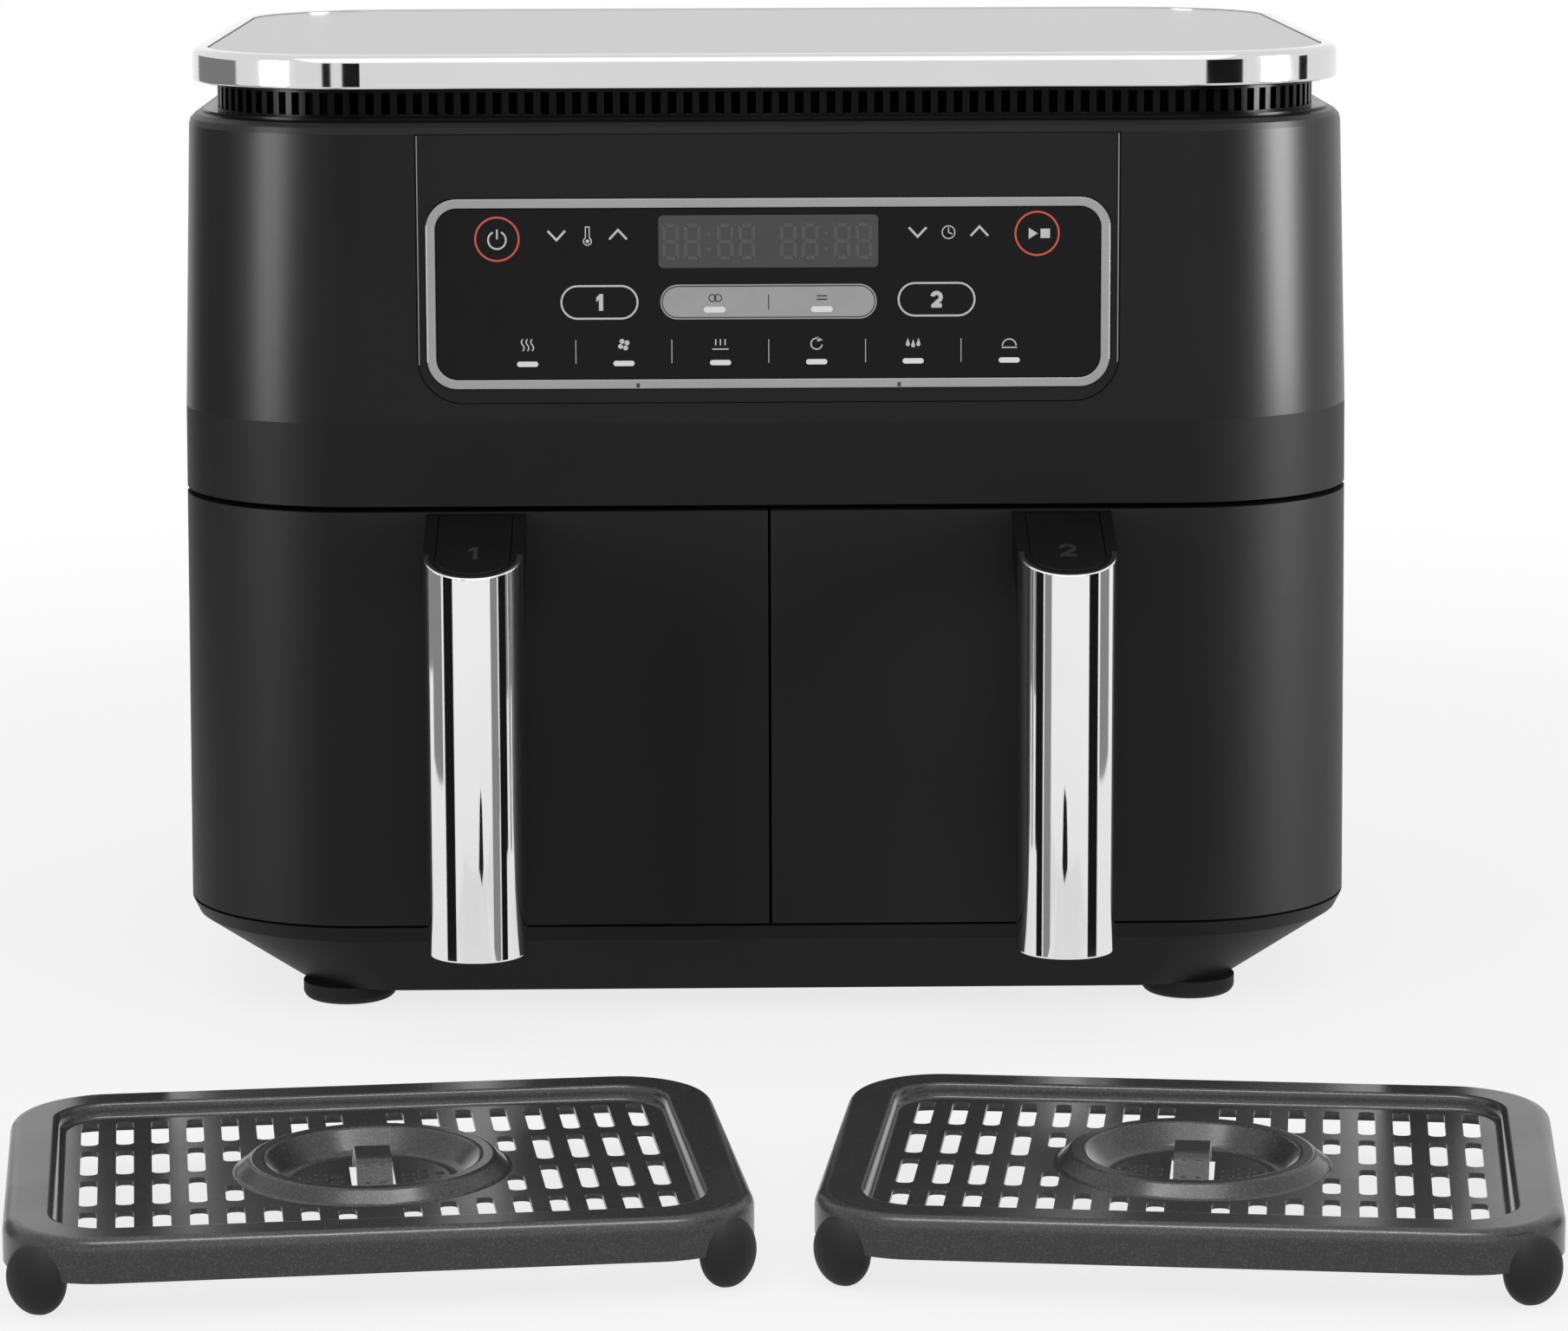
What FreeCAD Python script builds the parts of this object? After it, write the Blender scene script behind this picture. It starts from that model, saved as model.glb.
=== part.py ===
import FreeCAD, Part
import math
import os
import re
import Sketcher

# Driving dimensions in millimetres. X runs to the fryer's right, Y to its back and Z up;
# the origin is on the table under the middle of the housing.
SIZES = {
    # Housing outline, a rounded rectangle that widens from the rim to the crease and on to the base seam.
    "body_depth": 296,
    "corner_radius": 60,
    "rim_width": 380,
    "crease_width": 385.4,
    "base_width": 388,
    "side_wall": 3,
    "front_wall": 4,
    "part_gap": 0.3,
    # Heights, stacked from the table to the lid.
    "foot_height": 6,
    "seam_height": 31,
    "drawer_gap": 0.8,
    "drawer_height": 136.4,
    "fascia_gap": 1.9,
    "fascia_height": 27,
    "head_height": 97,
    "vent_height": 10,
    "lid_height": 11,
    # Base tray and its feet.
    "base_side_inset": 36,
    "base_front_inset": 17,
    "base_corner_radius": 36,
    "lip_height": 5,
    "lip_inset": 2,
    "base_wall": 3,
    "base_rim": 7,
    "liner_rib_thickness": 4,
    "liner_rib_length": 320,
    "liner_rib_spacing": 150,
    "floor_vent_length": 60,
    "floor_vent_width": 4,
    "floor_vent_pitch": 11,
    "foot_radius": 15.5,
    "foot_fillet": 3,
    "foot_edge_inset": 18,
    "base_screw_inset": 46,
    # Fasteners.
    "screw_head_radius": 3.8,
    "screw_head_height": 1.8,
    "screw_radius": 1.6,
    "screw_clearance": 0.2,
    # Drawer fronts and the frame behind them.
    "drawer_wrap": 64,
    "drawer_wall": 3,
    "drawer_split": 0.9,
    "drawer_corner": 7,
    "wrap_gap": 0.8,
    "frame_thickness": 3,
    "frame_sill": 1.5,
    "drawer_back_thickness": 2.5,
    "drawer_back_set": 1.5,
    # Cooking cavities.
    "cavity_clearance": 5,
    "cavity_top_gap": 5.6,
    "middle_gap": 11,
    "liner_side_gap": 6.2,
    "liner_back_gap": 9,
    "liner_wall": 0.8,
    "liner_corner": 40,
    "well_radius": 72,
    "well_height": 28,
    "basket_side_gap": 8.8,
    "basket_back_gap": 9,
    "basket_floor_gap": 3,
    "basket_top_gap": 15,
    "basket_wall": 1.2,
    "basket_corner": 22,
    "basket_floor_fillet": 9,
    "basket_flange": 4,
    "basket_flange_thickness": 2,
    "rail_clearance": 1.8,
    "rail_height": 4,
    "rail_end_gap": 20,
    # Heaters, fans and motors.
    "heater_tube_radius": 3.2,
    "heater_outer_radius": 58,
    "heater_inner_radius": 44,
    "heater_bend_radius": 12,
    "heater_lead_rise": 10,
    "heater_lead_drop": 8,
    "heater_lift": 3.5,
    "hot_fan_radius": 54,
    "hot_fan_lift": 10,
    "hot_blade_height": 11,
    "fan_sheet": 1.2,
    "hub_radius": 9,
    "shaft_radius": 3,
    "shaft_fit": 0.05,
    "shaft_hole": 8,
    "deck_thickness": 1.2,
    "deck_edge_gap": 0.8,
    "motor_radius": 30,
    "motor_flange_radius": 38,
    "motor_flange_thickness": 2,
    "motor_height": 38,
    "bearing_boss_radius": 10,
    "bearing_boss_height": 6,
    "cooling_fan_radius": 44,
    "cooling_blade_height": 9,
    "collar_gap": 0.3,
    # Sensors.
    "probe_radius": 2.5,
    "probe_reach": 6,
    "probe_flange_radius": 6,
    "probe_flange_thickness": 1.5,
    "switch_width": 9,
    "switch_depth": 14,
    "switch_height": 20,
    "switch_spacing": 44,
    "plunger_radius": 1.5,
    "plunger_offset": 2.4,
    "plunger_clearance": 0.4,
    # Control panel on the head's front.
    "insert_width": 225.8,
    "insert_depth": 1.8,
    "insert_set": 0.35,
    "insert_margin": 6.2,
    "insert_corner": 15,
    "rim_fillet": 4,
    "bezel_side_margin": 3.2,
    "bezel_bottom_margin": 4.8,
    "bezel_height": 61.3,
    "bezel_corner": 10,
    "bezel_band": 3.1,
    "bezel_proud": 0.8,
    "touch_proud": 0.3,
    "display_width": 70.6,
    "display_height": 17.1,
    "display_corner": 1.6,
    "display_depth": 0.6,
    "display_top_margin": 2.3,
    "key_width": 69.6,
    "key_height": 11.4,
    "key_drop": 19.4,
    "key_depth": 0.5,
    "key_proud": 0.2,
    "inlay_gap": 0.1,
    # Circuit boards.
    "boss_radius": 3.5,
    "boss_height": 6,
    "board_thickness": 1.6,
    "control_board_width": 196,
    "control_board_height": 48,
    "boss_inset": 6,
    "connector_width": 30,
    "connector_height": 9,
    "connector_depth": 8,
    "power_board_width": 84,
    "power_board_depth": 62,
    "power_board_back_gap": 12,
    "pillar_radius": 3,
    "pillar_height": 6,
    "transformer_size": 28,
    "transformer_height": 24,
    # Air intake, lid and top deck.
    "deck_wall": 3.5,
    "lid_inset": 1.5,
    "vent_inset": 8,
    "vent_wall": 4,
    "vent_hoop": 1.4,
    "vent_flange": 0.8,
    "vent_flange_gap": 0.8,
    "vent_pitch": 5.1,
    "vent_slot": 2.8,
    "band_width": 5,
    "band_top_fillet": 2.5,
    "band_bottom_fillet": 1,
    "lid_plate_thickness": 1,
    "lid_plate_set": 0.5,
    "lid_tray_floor": 2.5,
    "lid_tray_wall": 6,
    "lid_rib_thickness": 3,
    # Rear cover and cord gland.
    "rear_cover_width": 216,
    "rear_cover_height": 104,
    "rear_cover_lift": 48,
    "rear_cover_corner": 14,
    "rear_cover_thickness": 2.5,
    "rear_cover_lap": 14,
    "rear_screw_inset": 7,
    "louvre_length": 78,
    "louvre_width": 4,
    "louvre_pitch": 9,
    "louvre_offset": 48,
    "gland_radius": 7,
    "gland_flange_radius": 10,
    "gland_flange_thickness": 2.5,
    "gland_bore": 4,
    "gland_tail": 1.5,
    "gland_side": 115,
    "gland_lift": 16,
    # Drawer handles.
    "handle_reach": 44,
    "handle_width": 31,
    "core_flare": 0.4,
    "handle_drop": 14.6,
    "handle_hang": 1.6,
    "cap_rise": 14.2,
    "bar_depth": 21,
    "cover_depth": 16,
    "cover_wall": 1.5,
    "cover_corner": 14.8,
    "cover_fit": 0.1,
    "neck_height": 19,
    "neck_drop": 10,
    "neck_fillet": 12,
    "grip_fillet": 3.5,
    "cap_thickness": 2.2,
    "cap_margin": 3.4,
    "cap_lip": 0.5,
    "cover_lip": 0.6,
    "cap_rear_margin": 1,
    "cap_gap": 0.15,
    "cap_corner": 11.3,
    "handle_screw_spacing": 9,
    "handle_screw_drop": 1.5,
    # Crisper plates, taken out and lying on the table in front.
    "plate_length": 204,
    "plate_width": 155,
    "plate_corner": 28,
    "plate_sheet": 1.5,
    "plate_skirt": 9.8,
    "plate_top": 21.5,
    "plate_field_drop": 4.5,
    "plate_rim": 14,
    "plate_field_corner": 15,
    "plate_edge_fillet": 4,
    "plate_lip_fillet": 2,
    "ring_radius": 37,
    "crest_radius": 34.5,
    "crest_flat": 4,
    "ring_rise": 3.8,
    "bowl_radius": 24,
    "bowl_depth": 3,
    "crest_fillet": 1.8,
    "bowl_fillet": 5,
    "field_fillet": 2,
    "bridge_width": 10,
    "bridge_reach": 19,
    "bridge_crest": 7,
    "bridge_rise": 8,
    "bridge_slit": 1.2,
    "bridge_fillet": 8,
    "bridge_rib_width": 1.5,
    "bridge_rib_height": 0.8,
    "bridge_rib_spacing": 4.2,
    "slot_width": 5,
    "slot_length": 25,
    "slot_corner": 2,
    "slot_column_pitch": 10.06,
    "slot_middle_gap": 17.8,
    "slot_row_pitch": 31,
    "slot_ring_margin": 4,
    "slot_least_length": 4,
    "drain_radius": 1.7,
    "drain_pitch": 5.2,
    "drain_place": 14.5,
    "bumper_width": 19,
    "bumper_height": 19.6,
    "bumper_depth": 13,
    "bumper_offset": -1.5,
    "bumper_flat": 0.6,
    "bumper_fit": 0.1,
}

# Counts and angles that are not lengths.
FLOOR_VENT_COUNT = 9
LOUVRE_COUNT = 9
FAN_BLADE_COUNT = 9
COOLING_BLADE_COUNT = 7
SLOT_COLUMNS_PER_SIDE = 8
SLOT_ROWS = 4
DRAINS_IN_RING = 6
POINTS_ON_EDGE = 5
CORNER_TURNS = (45, 135, -135, -45)
FULL_TURN = 360
UP = FreeCAD.Vector(0, 0, 1)
NEAR = 1e-4

# A quarter round in three steps, as shares of its radius: rise up the wall and inset from the wall.
ROUNDED_EDGE = ((0, 0), (0.5, 0.134), (0.866, 0.5), (1, 1))

# Each zone has a number, a side of the middle plane and the place of its crisper plate on the table.
ZONES = (
    {"number": 1, "side": -1, "plate_x": -115.5, "plate_y": -384, "plate_turn": 6.2},
    {"number": 2, "side": 1, "plate_x": 115.4, "plate_y": -385, "plate_turn": -7},
)

# Heights and depths that several pieces share, written in the sizes above.
FRONT = "(-body_depth / 2)"
BACK = "(body_depth / 2)"
DRAWER_BOTTOM = "(seam_height + drawer_gap)"
DRAWER_TOP = f"({DRAWER_BOTTOM} + drawer_height)"
FASCIA_BOTTOM = f"({DRAWER_TOP} + fascia_gap)"
CREASE = f"({FASCIA_BOTTOM} + fascia_height)"
RIM = f"({CREASE} + head_height)"
LID_BOTTOM = f"({RIM} + vent_height)"
LID_TOP = f"({LID_BOTTOM} + lid_height)"
DRAWER_REAR = f"({FRONT} + drawer_wrap)"
FRAME_FRONT = f"({DRAWER_REAR} + wrap_gap)"
FRAME_BACK = f"({FRAME_FRONT} + frame_thickness)"
CAVITY_FLOOR = "(seam_height + cavity_clearance)"
CAVITY_TOP = f"({DRAWER_TOP} - cavity_top_gap)"
LINER_OUTER = "(min(base_width; crease_width) / 2 - side_wall - liner_side_gap)"
LINER_INNER = "(middle_gap / 2)"
LINER_WIDTH = f"({LINER_OUTER} - {LINER_INNER})"
LINER_BACK = f"({BACK} - front_wall - liner_back_gap)"
LINER_DEPTH = f"({LINER_BACK} - {FRAME_BACK})"
ZONE_X = f"(({LINER_OUTER} + {LINER_INNER}) / 2)"
FAN_Y = f"(({LINER_BACK} + {FRAME_BACK}) / 2)"
WELL_TOP = f"({CAVITY_TOP} + well_height)"
DECK_TOP = f"({WELL_TOP} + deck_thickness)"
MOTOR_TOP = f"({DECK_TOP} + motor_height)"
BOSS_TOP = f"({MOTOR_TOP} + bearing_boss_height)"
BASKET_WIDTH = f"({LINER_WIDTH} - 2 * liner_wall - 2 * basket_side_gap)"
BASKET_FRONT = f"({DRAWER_REAR} - drawer_back_set)"
BASKET_BACK = f"({LINER_BACK} - liner_wall - basket_back_gap)"
BASKET_FLOOR = f"({CAVITY_FLOOR} + liner_wall + basket_floor_gap)"
BASKET_TOP = f"({CAVITY_TOP} - basket_top_gap)"
INSERT_BOTTOM = f"({CREASE} + insert_margin)"
INSERT_TOP = f"({RIM} - rim_fillet)"
INSERT_FLOOR = f"({FRONT} + insert_depth)"
BEZEL_WIDTH = "(insert_width - 2 * bezel_side_margin)"
BEZEL_BOTTOM = f"({INSERT_BOTTOM} + bezel_bottom_margin)"
BEZEL_MIDDLE = f"({BEZEL_BOTTOM} + bezel_height / 2)"
DISPLAY_MIDDLE = f"({BEZEL_BOTTOM} + bezel_height - bezel_band - display_top_margin - display_height / 2)"
KEY_MIDDLE = f"({DISPLAY_MIDDLE} - key_drop)"
TOUCH_FACE = f"({FRONT} - touch_proud)"
BOARD_FACE = f"({FRONT} + front_wall + boss_height)"
LID_WIDTH = "(rim_width - 2 * lid_inset)"
LID_DEPTH = "(body_depth - 2 * lid_inset)"
LID_RADIUS = "(corner_radius - lid_inset)"
VENT_WIDTH = f"({LID_WIDTH} - 2 * vent_inset)"
VENT_DEPTH = f"({LID_DEPTH} - 2 * vent_inset)"
VENT_RADIUS = f"({LID_RADIUS} - vent_inset)"
COVER_MIDDLE = "(seam_height + rear_cover_lift + rear_cover_height / 2)"
HANDLE_FRONT = f"({FRONT} - handle_reach)"
HANDLE_TOP = f"({DRAWER_TOP} - handle_drop)"
HANDLE_BOTTOM = "(seam_height - handle_hang)"
NECK_BOTTOM = f"({HANDLE_TOP} + cap_rise - neck_height)"
FIELD_TOP = "(plate_top - plate_field_drop)"
RING_TOP = f"({FIELD_TOP} + ring_rise)"
BOWL_TOP = f"({FIELD_TOP} - bowl_depth)"
BRIDGE_TOP = f"({BOWL_TOP} + bridge_rise)"

doc = FreeCAD.newDocument("AirFryer")
sheet = doc.addObject("Spreadsheet::Sheet", "Sizes")
for row, (alias, value) in enumerate(SIZES.items(), start=1):
    sheet.set(f"A{row}", alias)
    sheet.set(f"B{row}", str(value))
    sheet.setAlias(f"B{row}", alias)
doc.recompute()
pieces = {}


def qualified(formula):
    """The formula with each size's name turned into a reference to its cell."""
    return re.sub(r"[a-z_]+", lambda word: f"Sizes.{word[0]}" if word[0] in SIZES else word[0], formula)


def size(formula):
    """The present value of a formula."""
    return float(sheet.evalExpression(qualified(formula)))


def bind(target, formulas):
    """Tie properties of an object to formulas of the sizes."""
    for name, formula in formulas.items():
        target.setExpression(name, qualified(formula))


def place(target, x, y, z):
    """Tie an object's position to formulas."""
    bind(target, {"Placement.Base.x": x, "Placement.Base.y": y, "Placement.Base.z": z})


def width_at(height):
    """Outer width of the lower housing at a height between the seam and the crease."""
    return f"(crease_width + (base_width - crease_width) * ({CREASE} - {height}) / ({CREASE} - seam_height))"


def keep(label, target):
    """Name an object as one piece of the fryer."""
    target.Label = label
    pieces[label] = target
    return target


# Bodies, sketches and their outlines.


def new_body(label=None):
    """An empty body, kept as a piece where it has a label."""
    body = doc.addObject("PartDesign::Body", "Body")
    return keep(label, body) if label else body


def origin_feature(body, role):
    """One of the body's own planes or axes."""
    return next(feature for feature in body.Origin.OriginFeatures if feature.Role == role)


def new_sketch(body, role, offset="0"):
    """A sketch on an origin plane, moved along the plane's normal."""
    sketch = body.newObject("Sketcher::SketchObject", "Sketch")
    sketch.AttachmentSupport = [(origin_feature(body, role), "")]
    sketch.MapMode = "FlatFace"
    bind(sketch, {"AttachmentOffset.Base.z": offset})
    return sketch


def level_sketch(body, height):
    """A horizontal sketch at a height."""
    return new_sketch(body, "XY_Plane", height)


def facing_sketch(body, depth):
    """An upright sketch across the fryer at a depth; its normal points to the front."""
    return new_sketch(body, "XZ_Plane", f"-({depth})")


def side_sketch(body, across):
    """An upright sketch from front to back; its normal points to the right."""
    return new_sketch(body, "YZ_Plane", across)


def at_x(geometry, point, formula):
    """A dimension that holds a point of a sketch across from the sketch's origin."""
    return "DistanceX", (-1, 1, geometry, point), formula


def at_y(geometry, point, formula):
    """A dimension that holds a point of a sketch up from the sketch's origin."""
    return "DistanceY", (-1, 1, geometry, point), formula


def constrain(sketch, relations, dimensions):
    """Add relations to a sketch, then dimensions whose values are formulas."""
    first = sketch.ConstraintCount + len(relations)
    made = [Sketcher.Constraint(*relation) for relation in relations]
    made += [Sketcher.Constraint(kind, *references, size(formula)) for kind, references,
             formula in dimensions]
    sketch.addConstraint(made)
    for index, (kind, references, formula) in enumerate(dimensions, start=first):
        sketch.setExpression(f"Constraints[{index}]", qualified(formula))


def draw_polygon(sketch, corners):
    """A closed outline of straight lines through corners given as formulas."""
    points = [FreeCAD.Vector(size(x), size(y), 0) for x, y in corners]
    first = sketch.GeometryCount
    count = len(points)
    relations, dimensions = [], []
    for index, (x, y) in enumerate(corners):
        sketch.addGeometry(Part.LineSegment(points[index], points[(index + 1) % count]))
        relations.append(("Coincident", first + index, 2, first + (index + 1) % count, 1))
        dimensions += [at_x(first + index, 1, x), at_y(first + index, 1, y)]
    constrain(sketch, relations, dimensions)


def draw_rectangle(sketch, left, right, bottom, top):
    """A rectangle between four formulas."""
    draw_polygon(sketch, [(left, bottom), (right, bottom), (right, top), (left, top)])


def draw_circle(sketch, x, y, radius):
    """A circle about a centre."""
    circle = Part.Circle(FreeCAD.Vector(size(x), size(y), 0), UP, size(radius))
    index = sketch.addGeometry(circle)
    constrain(sketch, [], [at_x(index, 3, x), at_y(index, 3, y), ("Radius", (index,), radius)])


def corner_arc(x, y, radius, start):
    """A quarter circle that begins at an angle in quarter turns."""
    circle = Part.Circle(FreeCAD.Vector(x, y, 0), UP, radius)
    return Part.ArcOfCircle(circle, start * math.pi / 2, (start + 1) * math.pi / 2)


def draw_rounded(sketch, x, y, width, height, radius):
    """A rectangle about a centre with four equal round corners."""
    left = size(f"{x} - ({width}) / 2")
    right = size(f"{x} + ({width}) / 2")
    bottom = size(f"{y} - ({height}) / 2")
    top = size(f"{y} + ({height}) / 2")
    bend = size(radius)
    ends = [
        ((left + bend, bottom), (right - bend, bottom)),
        ((right, bottom + bend), (right, top - bend)),
        ((right - bend, top), (left + bend, top)),
        ((left, top - bend), (left, bottom + bend)),
    ]
    centres = [(right - bend, bottom + bend), (right - bend, top - bend), (left + bend, top - bend),
               (left + bend, bottom + bend)]
    first = sketch.GeometryCount
    for start, end in ends:
        sketch.addGeometry(Part.LineSegment(FreeCAD.Vector(*start, 0), FreeCAD.Vector(*end, 0)))
    for index, centre in enumerate(centres):
        sketch.addGeometry(corner_arc(*centre, bend, index - 1))
    relations = []
    for index in range(4):
        arc = first + 4 + index
        relations.append(("Tangent", first + index, 2, arc, 1))
        relations.append(("Tangent", arc, 2, first + (index + 1) % 4, 1))
        relations.append(("Horizontal" if index % 2 == 0 else "Vertical", first + index))
        if index:
            relations.append(("Equal", first + 4, arc))
    constrain(sketch, relations, [
        ("Radius", (first + 4,), radius),
        at_y(first, 1, f"{y} - ({height}) / 2"),
        at_x(first + 1, 1, f"{x} + ({width}) / 2"),
        at_y(first + 2, 1, f"{y} + ({height}) / 2"),
        at_x(first + 3, 1, f"{x} - ({width}) / 2"),
    ])


def draw_slot(sketch, x, y, length, width):
    """A slot with round ends, lying along the sketch's first axis."""
    reach = f"(({length}) - ({width})) / 2"
    half = size(reach)
    radius = size(width) / 2
    middle = FreeCAD.Vector(size(x), size(y), 0)
    ends = (middle + FreeCAD.Vector(half, 0, 0), middle - FreeCAD.Vector(half, 0, 0))
    drop = FreeCAD.Vector(0, radius, 0)
    first = sketch.GeometryCount
    sketch.addGeometry(Part.LineSegment(ends[1] - drop, ends[0] - drop))
    sketch.addGeometry(Part.LineSegment(ends[0] + drop, ends[1] + drop))
    for index, end in enumerate(ends):
        circle = Part.Circle(end, UP, radius)
        sketch.addGeometry(Part.ArcOfCircle(circle, (index - 0.5) * math.pi, (index + 0.5) * math.pi))
    right, left = first + 2, first + 3
    relations = [
        ("Tangent", first, 2, right, 1),
        ("Tangent", right, 2, first + 1, 1),
        ("Tangent", first + 1, 2, left, 1),
        ("Tangent", left, 2, first, 1),
        ("Equal", right, left),
    ]
    constrain(sketch, relations, [
        ("Radius", (right,), f"({width}) / 2"),
        at_x(right, 3, f"{x} + {reach}"),
        at_y(right, 3, y),
        at_x(left, 3, f"{x} - {reach}"),
        at_y(left, 3, y),
    ])


def draw_front_corner(sketch, side, inner, outer, front, rear, radius):
    """Half of the housing's front in plan: square in the middle, round at the outer front corner."""
    near, far = size(f"{side} * {inner}"), size(f"{side} * {outer}")
    fore, aft = size(front), size(rear)
    bend = size(radius)
    turn = side * bend
    points = [(near, fore), (far - turn, fore), (far, fore + bend), (far, aft), (near, aft)]
    front_left, front_right, side_front, side_rear, middle_rear = (FreeCAD.Vector(*p, 0) for p in points)
    first = sketch.GeometryCount
    sketch.addGeometry(Part.LineSegment(front_left, front_right))
    sketch.addGeometry(corner_arc(far - turn, fore + bend, bend, -1 if side > 0 else 2))
    sketch.addGeometry(Part.LineSegment(side_front, side_rear))
    sketch.addGeometry(Part.LineSegment(side_rear, middle_rear))
    sketch.addGeometry(Part.LineSegment(middle_rear, front_left))
    front_end, side_end = (1, 2) if side > 0 else (2, 1)
    relations = [
        ("Tangent", first, 2, first + 1, front_end),
        ("Tangent", first + 1, side_end, first + 2, 1),
        ("Coincident", first + 2, 2, first + 3, 1),
        ("Coincident", first + 3, 2, first + 4, 1),
        ("Coincident", first + 4, 2, first, 1),
        ("Horizontal", first),
        ("Vertical", first + 2),
        ("Horizontal", first + 3),
        ("Vertical", first + 4),
    ]
    constrain(sketch, relations, [
        at_x(first, 1, f"{side} * {inner}"),
        at_y(first, 1, front),
        at_x(first + 2, 2, f"{side} * {outer}"),
        at_y(first + 2, 2, rear),
        ("Radius", (first + 1,), radius),
    ])


def draw_nose(sketch, front, rear, width, radius):
    """A bar's end about the sketch's second axis: two round corners in front and a square rear."""
    half, bend = size(f"({width}) / 2"), size(radius)
    fore, aft = size(front), size(rear)
    corners = [(bend - half, fore), (half - bend, fore), (half, fore + bend), (half, aft), (-half, aft),
               (-half, fore + bend)]
    front_left, front_right, right_front, right_rear, left_rear, left_front = (
        FreeCAD.Vector(*corner, 0) for corner in corners)
    first = sketch.GeometryCount
    sketch.addGeometry(Part.LineSegment(front_left, front_right))
    sketch.addGeometry(corner_arc(half - bend, fore + bend, bend, -1))
    sketch.addGeometry(Part.LineSegment(right_front, right_rear))
    sketch.addGeometry(Part.LineSegment(right_rear, left_rear))
    sketch.addGeometry(Part.LineSegment(left_rear, left_front))
    sketch.addGeometry(corner_arc(bend - half, fore + bend, bend, 2))
    relations = [
        ("Tangent", first, 2, first + 1, 1),
        ("Tangent", first + 1, 2, first + 2, 1),
        ("Coincident", first + 2, 2, first + 3, 1),
        ("Coincident", first + 3, 2, first + 4, 1),
        ("Tangent", first + 4, 2, first + 5, 1),
        ("Tangent", first + 5, 2, first, 1),
        ("Horizontal", first),
        ("Vertical", first + 2),
        ("Horizontal", first + 3),
        ("Vertical", first + 4),
        ("Equal", first + 1, first + 5),
    ]
    constrain(sketch, relations, [
        ("Radius", (first + 1,), radius),
        at_y(first, 1, front),
        at_x(first + 2, 2, f"({width}) / 2"),
        at_y(first + 2, 2, rear),
        at_x(first + 4, 1, f"-({width}) / 2"),
    ])


# Features made from the sketches.


def add_feature(body, kind, **settings):
    """Add a feature to the body and build it."""
    feature = body.newObject(f"PartDesign::{kind}", kind)
    for name, value in settings.items():
        setattr(feature, name, value)
    body.Tip = feature
    return feature


def pad(body, sketch, length, backward=False):
    """Raise a sketch along its normal, or against it."""
    feature = add_feature(body, "Pad", Profile=sketch, Reversed=backward)
    bind(feature, {"Length": length})
    doc.recompute()
    return feature


def pocket(body, sketch, length, forward=False):
    """Cut a sketch in against its normal, or along it, and see that it took material away."""
    before = body.Shape.Volume
    feature = add_feature(body, "Pocket", Profile=sketch, Reversed=forward)
    bind(feature, {"Length": length})
    doc.recompute()
    if body.Shape.Volume > before - NEAR:
        raise ValueError(f"a pocket of {body.Label} cuts nothing")
    return feature


def loft(body, kind, sketches):
    """Join level sketches by straight walls."""
    feature = add_feature(body, kind, Profile=sketches[0], Sections=sketches[1:], Ruled=True)
    doc.recompute()
    return feature


def loft_levels(body, kind, levels):
    """A loft through rounded rectangles, each given as height, width, depth and radius."""
    sketches = []
    for height, width, depth, radius in levels:
        sketch = level_sketch(body, height)
        draw_rounded(sketch, "0", "0", width, depth, radius)
        sketches.append(sketch)
    return loft(body, kind, sketches)


def fillet(body, radius, wanted):
    """Round the edges of the body that pass a test."""
    base = body.Tip
    names = [f"Edge{index}" for index, edge in enumerate(base.Shape.Edges, start=1) if wanted(edge)]
    feature = add_feature(body, "Fillet", Base=(base, names))
    bind(feature, {"Radius": radius})
    doc.recompute()
    return feature


def hollow(body, wall, wanted):
    """Turn the body into a shell with walls inside its outline, open at the faces that pass a test."""
    base = body.Tip
    names = [f"Face{index}" for index, face in enumerate(base.Shape.Faces, start=1) if wanted(face)]
    feature = add_feature(body, "Thickness", Base=(base, names), Reversed=True)
    bind(feature, {"Value": wall})
    doc.recompute()
    return feature


def polar(body, feature, count):
    """Repeat a feature evenly round the body's upright axis."""
    pattern = add_feature(body, "PolarPattern", Originals=[feature], Angle=FULL_TURN, Occurrences=count)
    pattern.Axis = (origin_feature(body, "Z_Axis"), [""])
    doc.recompute()
    return pattern


def repeat(body, feature, axis, length, count):
    """Repeat a feature in even steps along one of the body's axes."""
    pattern = add_feature(body, "LinearPattern", Originals=[feature], Occurrences=count)
    pattern.Direction = (origin_feature(body, axis), [""])
    bind(pattern, {"Length": length})
    doc.recompute()
    return pattern


def spans(box, axis):
    """Lowest and highest coordinate of a box along an axis."""
    return getattr(box, f"{axis}Min"), getattr(box, f"{axis}Max")


def lies_at(axis, formula):
    """A test for edges that lie wholly at one coordinate."""
    level = size(formula)
    return lambda edge: all(abs(end - level) < NEAR for end in spans(edge.BoundBox, axis))


def runs_along(axis):
    """A test for straight edges along an axis."""
    others = [name for name in "XYZ" if name != axis]

    def test(edge):
        flat = all(getattr(edge.BoundBox, f"{name}Length") < NEAR for name in others)
        return flat and getattr(edge.BoundBox, f"{axis}Length") > NEAR
    return test


def all_of(*tests):
    """A test that passes where every one of the tests passes."""
    return lambda edge: all(test(edge) for test in tests)


def turned(profile, label=None):
    """A body turned about its own upright axis from a profile of radii and heights."""
    body = new_body(label)
    sketch = facing_sketch(body, "0")
    draw_polygon(sketch, profile)
    add_feature(body, "Revolution", Profile=sketch, ReferenceAxis=(sketch, ["V_Axis"]), Angle=FULL_TURN)
    doc.recompute()
    return body


def group(label, members):
    """Like pieces that share one name, each still a solid of its own."""
    compound = doc.addObject("Part::Compound", "Group")
    compound.Links = members
    doc.recompute()
    return keep(label, compound)


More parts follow.
